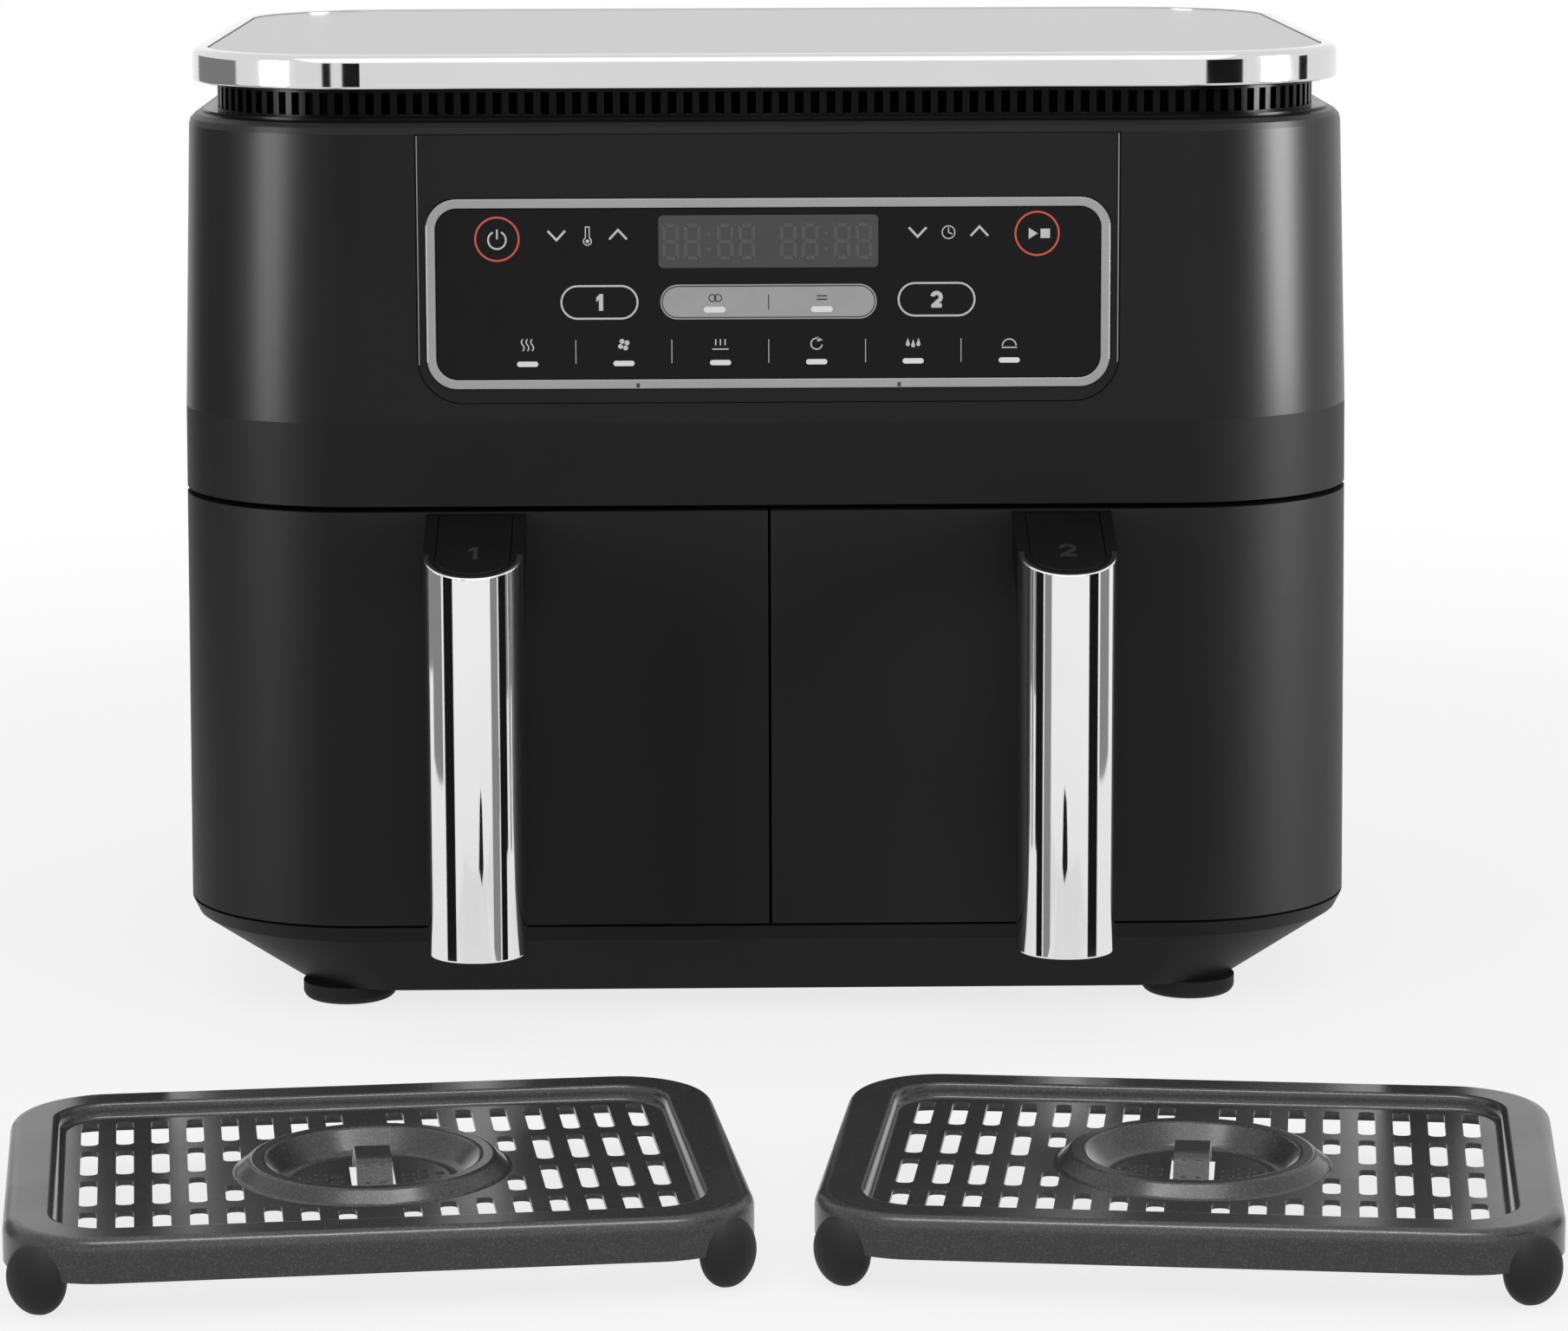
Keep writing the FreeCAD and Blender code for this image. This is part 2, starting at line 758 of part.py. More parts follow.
def cut(base, tool, label=None):
    """One shape less another."""
    result = doc.addObject("Part::Cut", "Cut")
    result.Base = base
    result.Tool = tool
    doc.recompute()
    return keep(label, result) if label else result


def shaped(shape, label=None):
    """A shape that no feature makes, put into the document."""
    feature = doc.addObject("Part::Feature", "Shape")
    feature.Shape = shape
    doc.recompute()
    return keep(label, feature) if label else feature


# Base tray, feet and screws.


def foot_places():
    """Formulas of the four feet, under the corners of the tray."""
    across = "(base_width / 2 - base_side_inset - foot_edge_inset)"
    along = "(body_depth / 2 - base_front_inset - foot_edge_inset - part_gap)"
    return [(f"{x} * {across}", f"{y} * {along}") for x in (-1, 1) for y in (-1, 1)]


def base_screw_places():
    """Formulas of the four base screws, inboard of the feet."""
    return [(f"{x} - ({x}) / abs({x}) * base_screw_inset", y) for x, y in foot_places()]


def make_base_tray():
    """Moulded tray with a lip under the seam, a chamfer all round and ribs that carry the liners."""
    body = new_body("base_tray")
    bottom_width = "base_width - 2 * base_side_inset"
    bottom_depth = "body_depth - 2 * base_front_inset"
    lip = "(seam_height - lip_height)"
    loft_levels(body, "AdditiveLoft", [
        ("foot_height", bottom_width, bottom_depth, "base_corner_radius"),
        (lip, "base_width - 2 * lip_inset", "body_depth - 2 * lip_inset", "corner_radius"),
        ("seam_height", "base_width", "body_depth", "corner_radius"),
    ])
    floor = "(foot_height + base_wall)"
    loft_levels(body, "SubtractiveLoft", [
        (floor, f"{bottom_width} - 2 * base_wall", f"{bottom_depth} - 2 * base_wall",
         "base_corner_radius - base_wall"),
        (lip, "base_width - 2 * lip_inset - 2 * base_rim", "body_depth - 2 * lip_inset - 2 * base_rim",
         "corner_radius - base_rim"),
        ("seam_height", "base_width - 2 * base_rim", "body_depth - 2 * base_rim", "corner_radius - base_rim"),
    ])
    ribs = level_sketch(body, floor)
    for side in (-1, 1):
        middle = f"({FAN_Y} + {side} * liner_rib_spacing / 2)"
        draw_rectangle(ribs, "-liner_rib_length / 2", "liner_rib_length / 2",
                       f"{middle} - liner_rib_thickness / 2", f"{middle} + liner_rib_thickness / 2")
    pad(body, ribs, f"{CAVITY_FLOOR} - {floor}")
    vents = level_sketch(body, "foot_height")
    reach = f"(floor_vent_pitch * {FLOOR_VENT_COUNT - 1})"
    for side in (-1, 1):
        draw_slot(vents, f"{side} * {ZONE_X}", f"-{reach} / 2", "floor_vent_length", "floor_vent_width")
    first = pocket(body, vents, "base_wall", forward=True)
    repeat(body, first, "Y_Axis", reach, FLOOR_VENT_COUNT)
    heads = level_sketch(body, "foot_height")
    shanks = level_sketch(body, "foot_height")
    for x, y in base_screw_places():
        draw_circle(heads, x, y, "screw_head_radius + screw_clearance")
        draw_circle(shanks, x, y, "screw_radius + screw_clearance")
    pocket(body, heads, "screw_head_height", forward=True)
    pocket(body, shanks, "base_wall", forward=True)


def make_rubber_feet():
    """Four round rubber feet under the tray."""
    feet = []
    for x, y in foot_places():
        foot = turned([("0", "0"), ("foot_radius", "0"), ("foot_radius", "foot_height"),
                       ("0", "foot_height")])
        fillet(foot, "foot_fillet", lies_at("Z", "0"))
        place(foot, x, y, "0")
        feet.append(foot)
    group("rubber_feet", feet)


def new_screw(shank_length):
    """A pan-head screw that stands on its head."""
    return turned([("0", "0"), ("screw_head_radius", "0"), ("screw_head_radius", "screw_head_height"),
                   ("screw_radius", "screw_head_height"),
                   ("screw_radius", f"screw_head_height + {shank_length}"),
                   ("0", f"screw_head_height + {shank_length}")])


def make_base_screws():
    """Screws sunk into the underside of the tray."""
    screws = []
    for x, y in base_screw_places():
        screw = new_screw("base_wall")
        place(screw, x, y, "foot_height")
        screws.append(screw)
    group("base_screws", screws)


# Housing shells.


def make_lower_housing():
    """Side and back walls and the fascia band, open at the front for the drawers."""
    body = new_body("lower_housing")
    loft_levels(body, "AdditiveLoft", [
        ("seam_height", "base_width", "body_depth", "corner_radius"),
        (CREASE, "crease_width", "body_depth", "corner_radius"),
    ])
    inner_depth = "body_depth - 2 * front_wall"
    loft_levels(body, "SubtractiveLoft", [
        ("seam_height", "base_width - 2 * side_wall", inner_depth, "corner_radius - side_wall"),
        (CREASE, "crease_width - 2 * side_wall", inner_depth, "corner_radius - side_wall"),
    ])
    opening = level_sketch(body, FASCIA_BOTTOM)
    draw_rectangle(opening, "-base_width", "base_width", f"{FRONT} - drawer_wrap", FRAME_FRONT)
    pocket(body, opening, f"{FASCIA_BOTTOM} - seam_height")
    fillet(body, "drawer_corner + fascia_gap", all_of(lies_at("Y", FRAME_FRONT), lies_at("Z", FASCIA_BOTTOM)))
    outlet = facing_sketch(body, BACK)
    draw_rounded(outlet, "0", COVER_MIDDLE, "rear_cover_width - 2 * rear_cover_lap",
                 "rear_cover_height - 2 * rear_cover_lap", "rear_cover_corner - rear_screw_inset")
    pocket(body, outlet, "front_wall", forward=True)
    holes = facing_sketch(body, BACK)
    for x, z in rear_screw_places():
        draw_circle(holes, x, z, "screw_radius + screw_clearance")
    draw_circle(holes, "gland_side", "seam_height + gland_lift", "gland_radius + part_gap")
    pocket(body, holes, "front_wall", forward=True)


def make_upper_housing():
    """Control head: drafted sides, a rounded rim, an open top deck and the recess for the panel."""
    body = new_body("upper_housing")
    levels = [(CREASE, "crease_width", "body_depth", "corner_radius")]
    for rise, inset in ROUNDED_EDGE:
        levels.append((f"{RIM} - rim_fillet * (1 - {rise})", f"rim_width - 2 * rim_fillet * {inset}",
                       f"body_depth - 2 * rim_fillet * {inset}", f"corner_radius - rim_fillet * {inset}"))
    loft_levels(body, "AdditiveLoft", levels)
    inner_depth = "body_depth - 2 * front_wall"
    loft_levels(body, "SubtractiveLoft", [
        (CREASE, "crease_width - 2 * side_wall", inner_depth, "corner_radius - side_wall"),
        (f"{RIM} - deck_wall", "rim_width - 2 * side_wall", inner_depth, "corner_radius - side_wall"),
    ])
    intake = level_sketch(body, RIM)
    draw_rounded(intake, "0", "0", f"{VENT_WIDTH} - 2 * vent_wall", f"{VENT_DEPTH} - 2 * vent_wall",
                 f"{VENT_RADIUS} - vent_wall")
    pocket(body, intake, "deck_wall")
    recess = facing_sketch(body, FRONT)
    draw_rectangle(recess, "-insert_width / 2", "insert_width / 2", INSERT_BOTTOM, INSERT_TOP)
    pocket(body, recess, "insert_depth")
    fillet(body, "insert_corner", all_of(runs_along("Y"), lies_at("Z", INSERT_BOTTOM)))
    bosses = facing_sketch(body, f"{FRONT} + front_wall")
    for x, z in board_boss_places():
        draw_circle(bosses, x, z, "boss_radius")
    pad(body, bosses, "boss_height", backward=True)


# Rear cover and cord gland.


def rear_screw_places():
    """Formulas of the rear cover's four screws, near its corners."""
    across = "(rear_cover_width / 2 - rear_screw_inset)"
    along = "(rear_cover_height / 2 - rear_screw_inset)"
    return [(f"{x} * {across}", f"{COVER_MIDDLE} + {z} * {along}") for x in (-1, 1) for z in (-1, 1)]


def make_rear_cover():
    """Louvred plate over the air outlet."""
    body = new_body("rear_cover")
    plate = facing_sketch(body, BACK)
    draw_rounded(plate, "0", COVER_MIDDLE, "rear_cover_width", "rear_cover_height", "rear_cover_corner")
    pad(body, plate, "rear_cover_thickness", backward=True)
    fillet(body, "rear_cover_thickness / 2", lies_at("Y", f"{BACK} + rear_cover_thickness"))
    holes = facing_sketch(body, BACK)
    for x, z in rear_screw_places():
        draw_circle(holes, x, z, "screw_radius + screw_clearance")
    pocket(body, holes, "rear_cover_thickness")
    louvres = facing_sketch(body, BACK)
    reach = f"(louvre_pitch * {LOUVRE_COUNT - 1})"
    for side in (-1, 1):
        draw_slot(louvres, f"{side} * louvre_offset", f"{COVER_MIDDLE} - {reach} / 2", "louvre_length",
                  "louvre_width")
    first = pocket(body, louvres, "rear_cover_thickness")
    repeat(body, first, "Z_Axis", reach, LOUVRE_COUNT)


def make_rear_screws():
    """Screws that hold the rear cover to the housing's back wall."""
    screws = []
    for x, z in rear_screw_places():
        screw = new_screw("rear_cover_thickness + front_wall")
        screw.Placement.Rotation = FreeCAD.Rotation(FreeCAD.Vector(1, 0, 0), 90)
        place(screw, x, f"{BACK} + rear_cover_thickness + screw_head_height", z)
        screws.append(screw)
    group("rear_screws", screws)


def make_cord_gland():
    """Bush through the back wall, with the bore that the mains lead enters by."""
    inner_end = "(-front_wall - gland_tail)"
    gland = turned([("gland_bore", inner_end), ("gland_radius", inner_end), ("gland_radius", "0"),
                    ("gland_flange_radius", "0"), ("gland_flange_radius", "gland_flange_thickness"),
                    ("gland_bore", "gland_flange_thickness")], "cord_gland")
    gland.Placement.Rotation = FreeCAD.Rotation(FreeCAD.Vector(1, 0, 0), -90)
    place(gland, "gland_side", BACK, "seam_height + gland_lift")


# Cooking cavities.


def plunger_place(side):
    """Formulas of a drawer switch's plunger in the frame's middle post."""
    return f"{side} * plunger_offset", f"({CAVITY_FLOOR} + {CAVITY_TOP} + {side} * switch_spacing) / 2"


def make_front_frame():
    """Frame behind the drawer fronts, with one opening for each basket."""
    body = new_body("front_frame")
    low = "(seam_height + part_gap)"
    high = f"({FASCIA_BOTTOM} - part_gap)"
    low_half = f"({width_at(low)} / 2 - side_wall - part_gap)"
    high_half = f"({width_at(high)} / 2 - side_wall - part_gap)"
    plate = facing_sketch(body, FRAME_FRONT)
    draw_polygon(plate, [(f"-{low_half}", low), (low_half, low), (high_half, high), (f"-{high_half}", high)])
    pad(body, plate, "frame_thickness", backward=True)
    openings = facing_sketch(body, FRAME_FRONT)
    for zone in ZONES:
        draw_rounded(openings, f"{zone['side']} * {ZONE_X}", f"({CAVITY_FLOOR} + {CAVITY_TOP}) / 2",
                     f"{LINER_WIDTH} - 2 * liner_wall", f"{CAVITY_TOP} - {CAVITY_FLOOR} - 2 * liner_wall",
                     "frame_sill")
        draw_circle(openings, *plunger_place(zone["side"]), "plunger_radius + plunger_clearance")
    pocket(body, openings, "frame_thickness")


def make_cavity_liner(zone):
    """Sheet-metal oven, open at the front, with a round well for heater and fan on its top."""
    side = zone["side"]
    middle = f"{side} * {ZONE_X}"
    body = new_body(f"cavity_liner_{zone['number']}")
    shell = facing_sketch(body, FRAME_BACK)
    draw_rectangle(shell, f"{middle} - {LINER_WIDTH} / 2", f"{middle} + {LINER_WIDTH} / 2", CAVITY_FLOOR,
                   CAVITY_TOP)
    pad(body, shell, LINER_DEPTH, backward=True)
    well = level_sketch(body, CAVITY_TOP)
    draw_circle(well, middle, FAN_Y, "well_radius")
    pad(body, well, "well_height")
    fillet(body, "liner_corner", all_of(runs_along("Z"), lies_at("Y", LINER_BACK)))
    space = level_sketch(body, f"{CAVITY_FLOOR} + liner_wall")
    draw_rounded(space, middle, f"{FAN_Y} - liner_corner - liner_wall / 2", f"{LINER_WIDTH} - 2 * liner_wall",
                 f"{LINER_DEPTH} + 2 * liner_corner - liner_wall", "liner_corner - liner_wall")
    pocket(body, space, f"{CAVITY_TOP} - {CAVITY_FLOOR} - 2 * liner_wall", forward=True)
    bore = level_sketch(body, f"{CAVITY_TOP} - liner_wall")
    draw_circle(bore, middle, FAN_Y, "well_radius - liner_wall")
    pocket(body, bore, "well_height", forward=True)
    holes = level_sketch(body, WELL_TOP)
    draw_circle(holes, middle, FAN_Y, "shaft_hole")
    pocket(body, holes, "liner_wall")
    probe = facing_sketch(body, LINER_BACK)
    draw_circle(probe, middle, probe_height(), "probe_radius + part_gap")
    pocket(body, probe, "liner_wall", forward=True)


def make_drawer_rails(zone):
    """Two ledges on the liner's walls, just under the basket's flange."""
    rails = []
    top = f"({BASKET_TOP} - basket_flange_thickness - part_gap)"
    wall = f"({LINER_WIDTH} / 2 - liner_wall)"
    for hand in (-1, 1):
        rail = new_body()
        outline = facing_sketch(rail, FRAME_BACK)
        middle = f"{zone['side']} * {ZONE_X}"
        edges = [f"{middle} + {hand} * {wall}",
                 f"{middle} + {hand} * ({wall} - basket_side_gap + rail_clearance)"]
        left, right = edges if hand < 0 else reversed(edges)
        draw_rectangle(outline, left, right, f"{top} - rail_height", top)
        pad(rail, outline, f"{LINER_DEPTH} - liner_corner - rail_end_gap", backward=True)
        rails.append(rail)
    group(f"drawer_rails_{zone['number']}", rails)


def probe_height():
    """Height of the temperature probe, over the basket."""
    return f"({CAVITY_TOP} - liner_wall - probe_flange_radius - part_gap)"


def make_temperature_probe(zone):
    """Probe that reaches through the liner's back wall, with a flange against the wall's outside."""
    inner_end = "(-liner_wall - probe_reach)"
    probe = turned([("0", inner_end), ("probe_radius", inner_end), ("probe_radius", "0"),
                    ("probe_flange_radius", "0"), ("probe_flange_radius", "probe_flange_thickness"),
                    ("0", "probe_flange_thickness")], f"temperature_probe_{zone['number']}")
    probe.Placement.Rotation = FreeCAD.Rotation(FreeCAD.Vector(1, 0, 0), -90)
    place(probe, f"{zone['side']} * {ZONE_X}", LINER_BACK, probe_height())


def make_drawer_switch(zone):
    """Microswitch on the back of the frame's post, its plunger through to the drawer."""
    x, z = plunger_place(zone["side"])
    body = new_body(f"drawer_switch_{zone['number']}")
    case = facing_sketch(body, FRAME_BACK)
    draw_rectangle(case, "-switch_width / 2", "switch_width / 2", f"{z} - switch_height / 2",
                   f"{z} + switch_height / 2")
    pad(body, case, "switch_depth", backward=True)
    plunger = facing_sketch(body, FRAME_BACK)
    draw_circle(plunger, x, z, "plunger_radius")
    pad(body, plunger, "frame_thickness + wrap_gap - part_gap")


# Heaters, fans and motors.


def arc_between(centre, radius, start, end, height):
    """An arc about a centre from one angle to another, in radians, as edges of less than half a turn."""
    count = 2 if abs(end - start) > math.pi * 0.9 else 1
    step = (end - start) / count

    def at(angle):
        return FreeCAD.Vector(centre[0] + radius * math.cos(angle), centre[1] + radius * math.sin(angle),
                              height)
    return [Part.Arc(at(start + i * step), at(start + (i + 0.5) * step), at(start + (i + 1) * step)).toShape()
            for i in range(count)]


def heater_path(height):
    """Centre line of the heater: in by one lead, round outside, back inside and out by the other."""
    outer, inner = size("heater_outer_radius"), size("heater_inner_radius")
    bend = size("heater_bend_radius")
    wall = size("well_radius - liner_wall - part_gap")
    rise, drop = size("heater_lead_rise"), -size("heater_lead_drop")
    in_centre = (math.sqrt((outer + bend) ** 2 - (rise + bend) ** 2), rise + bend)
    out_centre = (math.sqrt((inner + bend) ** 2 - (drop + bend) ** 2), drop + bend)
    in_angle = math.atan2(in_centre[1], in_centre[0])
    out_angle = math.atan2(out_centre[1], out_centre[0])
    far = 2 * math.pi - math.pi / 6
    middle = ((outer + inner) / 2 * math.cos(far), (outer + inner) / 2 * math.sin(far))
    tube = size("heater_tube_radius")
    in_start = FreeCAD.Vector(math.sqrt(wall ** 2 - (rise + tube) ** 2), rise, height)
    in_end = FreeCAD.Vector(in_centre[0], rise, height)
    out_start = FreeCAD.Vector(out_centre[0], drop, height)
    out_end = FreeCAD.Vector(math.sqrt(wall ** 2 - (drop - tube) ** 2), drop, height)
    half = (far + in_angle) / 2
    back = (far + out_angle) / 2
    edges = [Part.LineSegment(in_start, in_end).toShape()]
    edges += arc_between(in_centre, bend, 1.5 * math.pi, math.pi + in_angle, height)
    edges += arc_between((0, 0), outer, in_angle, half, height) + arc_between((0, 0), outer, half, far,
                                                                              height)
    edges += arc_between(middle, (outer - inner) / 2, far, far + math.pi, height)
    edges += arc_between((0, 0), inner, far, back, height) + arc_between((0, 0), inner, back, out_angle,
                                                                         height)
    edges += arc_between(out_centre, bend, math.pi + out_angle, 1.5 * math.pi, height)
    edges.append(Part.LineSegment(out_start, out_end).toShape())
    return Part.Wire(edges)


def make_heating_element(zone):
    """Tubular heater in the fan well, held by its two leads at the well's wall."""
    height = size(f"{CAVITY_TOP} + heater_lift")
    path = heater_path(height)
    start = path.Edges[0].firstVertex().Point
    ring = Part.Circle(start, FreeCAD.Vector(1, 0, 0), size("heater_tube_radius")).toShape()
    tube = path.makePipeShell([Part.Wire([ring])], True, False)
    heater = shaped(tube, f"heating_element_{zone['number']}")
    place(heater, f"{zone['side']} * {ZONE_X}", FAN_Y, "0")


def make_motor_deck():
    """Sheet-metal deck on the two wells, which carries motors and power board."""
    body = new_body("motor_deck")
    outline = level_sketch(body, WELL_TOP)
    margin = "2 * (side_wall + deck_edge_gap)"
    draw_rounded(outline, "0", "0", f"{width_at(WELL_TOP)} - {margin}",
                 "body_depth - 2 * (front_wall + deck_edge_gap)", "corner_radius - side_wall")
    pad(body, outline, "deck_thickness")
    holes = level_sketch(body, WELL_TOP)
    for zone in ZONES:
        draw_circle(holes, f"{zone['side']} * {ZONE_X}", FAN_Y, "shaft_hole")
    pocket(body, holes, "deck_thickness", forward=True)


def make_fan_motor(zone):
    """Motor on the deck: flange, case and bearing boss with the shaft's bore through all."""
    bore = "(shaft_radius + shaft_fit)"
    case_foot = "motor_flange_thickness"
    boss_top = "(motor_height + bearing_boss_height)"
    motor = turned([(bore, "0"), ("motor_flange_radius", "0"), ("motor_flange_radius", case_foot),
                    ("motor_radius", case_foot), ("motor_radius", "motor_height"),
                    ("bearing_boss_radius", "motor_height"), ("bearing_boss_radius", boss_top),
                    (bore, boss_top)],
                   f"fan_motor_{zone['number']}")
    place(motor, f"{zone['side']} * {ZONE_X}", FAN_Y, DECK_TOP)


def fan_levels():
    """Heights of the hot fan's blades and of the cooling fan's hub, over the table."""
    return f"({CAVITY_TOP} + hot_fan_lift)", f"({BOSS_TOP} + collar_gap)"


def make_fan_shaft(zone):
    """Shaft through the motor, from the hot fan up to the cooling fan."""
    hot, cool = fan_levels()
    shaft = turned([("0", hot), ("shaft_radius", hot), ("shaft_radius", f"{cool} + cooling_blade_height"),
                    ("0", f"{cool} + cooling_blade_height")], f"fan_shaft_{zone['number']}")
    place(shaft, f"{zone['side']} * {ZONE_X}", FAN_Y, "0")


def make_fan(label, zone, bottom, radius, blade_height, count, disc_on_top):
    """Fan with a disc, a hub on the shaft and upright blades round it."""
    top = f"({bottom} + {blade_height})"
    disc = f"({top} - fan_sheet)" if disc_on_top else bottom
    body = new_body(label)
    hub = level_sketch(body, bottom)
    draw_circle(hub, "0", "0", "hub_radius")
    pad(body, hub, blade_height)
    plate = level_sketch(body, disc)
    draw_circle(plate, "0", "0", f"{radius} * 0.94")
    pad(body, plate, "fan_sheet")
    blade = level_sketch(body, bottom)
    draw_polygon(blade, [("hub_radius * 1.4", "hub_radius * 0.2"), (radius, "hub_radius * 0.9"),
                         (radius, "hub_radius * 0.9 + fan_sheet"),
                         ("hub_radius * 1.4", "hub_radius * 0.2 + fan_sheet")])
    first = pad(body, blade, blade_height)
    polar(body, first, count)
    bore = level_sketch(body, bottom)
    draw_circle(bore, "0", "0", "shaft_radius + shaft_fit")
    pocket(body, bore, blade_height, forward=True)
    place(body, f"{zone['side']} * {ZONE_X}", FAN_Y, "0")


def make_fans(zone):
    """Hot-air fan under the well's top and cooling fan over the motor."""
    hot, cool = fan_levels()
    make_fan(f"hot_air_fan_{zone['number']}", zone, hot, "hot_fan_radius", "hot_blade_height",
             FAN_BLADE_COUNT, True)
    make_fan(f"cooling_fan_{zone['number']}", zone, cool, "cooling_fan_radius", "cooling_blade_height",
             COOLING_BLADE_COUNT, False)


# Circuit boards.


def board_boss_places():
    """Formulas of the four bosses that carry the control board."""
    across = "(control_board_width / 2 - boss_inset)"
    along = "(control_board_height / 2 - boss_inset)"
    return [(f"{x} * {across}", f"{BEZEL_MIDDLE} + {z} * {along}") for x in (-1, 1) for z in (-1, 1)]


def make_control_board():
    """Board behind the touch panel, with connectors on its back."""
    body = new_body("control_board")
    board = facing_sketch(body, BOARD_FACE)
    draw_rectangle(board, "-control_board_width / 2", "control_board_width / 2",
                   f"{BEZEL_MIDDLE} - control_board_height / 2", f"{BEZEL_MIDDLE} + control_board_height / 2")
    pad(body, board, "board_thickness", backward=True)
    connectors = facing_sketch(body, f"{BOARD_FACE} + board_thickness")
    for side in (-1, 1):
        middle = f"{side} * control_board_width / 4"
        draw_rectangle(connectors, f"{middle} - connector_width / 2", f"{middle} + connector_width / 2",
                       f"{BEZEL_MIDDLE} - connector_height / 2", f"{BEZEL_MIDDLE} + connector_height / 2")
    pad(body, connectors, "connector_depth", backward=True)


def make_power_board():
    """Board on four pillars between the motors, with a transformer and two relays."""
    body = new_body("power_board")
    back = f"({BACK} - front_wall - power_board_back_gap)"
    front = f"({back} - power_board_depth)"
    half = "(power_board_width / 2)"
    face = f"({DECK_TOP} + pillar_height)"
    board = level_sketch(body, face)
    draw_rectangle(board, f"-{half}", half, front, back)
    pad(body, board, "board_thickness")
    pillars = level_sketch(body, DECK_TOP)
    for side in (-1, 1):
        for end in (f"{front} + boss_inset", f"{back} - boss_inset"):
            draw_circle(pillars, f"{side} * ({half} - boss_inset)", end, "pillar_radius")
    pad(body, pillars, f"{face} - {DECK_TOP}")
    blocks = level_sketch(body, f"{face} + board_thickness")
    draw_rectangle(blocks, f"-{half} + boss_inset", f"-{half} + boss_inset + transformer_size",
                   f"{front} + 2 * boss_inset", f"{front} + 2 * boss_inset + transformer_size")
    for index in (0, 1):
        low = f"({front} + 2 * boss_inset + {index} * transformer_size * 0.6)"
        draw_rectangle(blocks, f"{half} - boss_inset - transformer_size * 0.8", f"{half} - boss_inset",
                       low, f"{low} + transformer_size * 0.4")
    pad(body, blocks, "transformer_height")


# Control panel.


def make_panel_insert():
    """Satin plate in the head's recess, with the bezel's opening."""
    body = new_body("panel_insert")
    half = "(insert_width / 2 - part_gap)"
    plate = facing_sketch(body, INSERT_FLOOR)
    draw_rectangle(plate, f"-{half}", half, f"{INSERT_BOTTOM} + part_gap", f"{INSERT_TOP} - part_gap")
    pad(body, plate, "insert_depth - insert_set")
    fillet(body, "insert_corner - part_gap",
           all_of(runs_along("Y"), lies_at("Z", f"{INSERT_BOTTOM} + part_gap")))
    opening = facing_sketch(body, FRONT)
    draw_rounded(opening, "0", BEZEL_MIDDLE, f"{BEZEL_WIDTH} + 2 * part_gap", "bezel_height + 2 * part_gap",
                 "bezel_corner + part_gap")
    pocket(body, opening, "insert_depth")


def make_control_bezel():
    """Bright frame round the touch panel."""
    body = new_body("control_bezel")
    outline = facing_sketch(body, INSERT_FLOOR)
    draw_rounded(outline, "0", BEZEL_MIDDLE, BEZEL_WIDTH, "bezel_height", "bezel_corner")
    pad(body, outline, "insert_depth + bezel_proud")
    window = facing_sketch(body, f"{FRONT} - bezel_proud")
    draw_rounded(window, "0", BEZEL_MIDDLE, f"{BEZEL_WIDTH} - 2 * bezel_band",
                 "bezel_height - 2 * bezel_band",
                 "bezel_corner - bezel_band")
    pocket(body, window, "insert_depth + bezel_proud")
    fillet(body, "bezel_proud / 2", lies_at("Y", f"{FRONT} - bezel_proud"))


def make_touch_panel():
    """Glossy touch panel inside the bezel, sunk where the display window and the key plate sit."""
    body = new_body("touch_panel")
    plate = facing_sketch(body, INSERT_FLOOR)
    margin = "2 * (bezel_band + part_gap)"
    draw_rounded(plate, "0", BEZEL_MIDDLE, f"{BEZEL_WIDTH} - {margin}", f"bezel_height - {margin}",
                 "bezel_corner - bezel_band - part_gap")
    pad(body, plate, "insert_depth + touch_proud")
    display = facing_sketch(body, TOUCH_FACE)
    draw_rounded(display, "0", DISPLAY_MIDDLE, "display_width", "display_height", "display_corner")
    pocket(body, display, "display_depth")
    key = facing_sketch(body, TOUCH_FACE)
    draw_slot(key, "0", KEY_MIDDLE, "key_width", "key_height")
    pocket(body, key, "key_depth")


def make_display_window():
    """Grey window over the digits, flush in the touch panel."""
    body = new_body("display_window")
    pane = facing_sketch(body, f"{TOUCH_FACE} + display_depth")
    draw_rounded(pane, "0", DISPLAY_MIDDLE, "display_width - 2 * inlay_gap", "display_height - 2 * inlay_gap",
                 "display_corner - inlay_gap")
    pad(body, pane, "display_depth")


def make_mode_key_plate():
    """Long grey key plate with round ends in the middle of the panel."""
    body = new_body("mode_key_plate")
    outline = facing_sketch(body, f"{TOUCH_FACE} + key_depth")
    draw_slot(outline, "0", KEY_MIDDLE, "key_width - 2 * inlay_gap", "key_height - 2 * inlay_gap")
    pad(body, outline, "key_depth + key_proud")


# Air intake and lid.


def perimeter_places(width, depth, radius, pitch):
    """Points and outward angles spread along a rounded rectangle at about one pitch."""
    half_width, half_depth = width / 2 - radius, depth / 2 - radius
    places = []
    for quarter in range(4):
        angle = quarter * math.pi / 2
        reach, half = (half_width, half_depth) if quarter % 2 == 0 else (half_depth, half_width)
        facing = FreeCAD.Vector(math.cos(angle), math.sin(angle), 0)
        along = FreeCAD.Vector(-math.sin(angle), math.cos(angle), 0)
        straight = round(2 * half / pitch)
        for index in range(straight):
            step = (index + 0.5) / straight * 2 - 1
            places.append((facing * (reach + radius) + along * (half * step), angle))
        bends = round(radius * math.pi / 2 / pitch)
        for index in range(bends):
            turn = angle + (index + 0.5) / bends * math.pi / 2
            spoke = FreeCAD.Vector(math.cos(turn), math.sin(turn), 0)
            places.append((facing * reach + along * half + spoke * radius, turn))
    return places


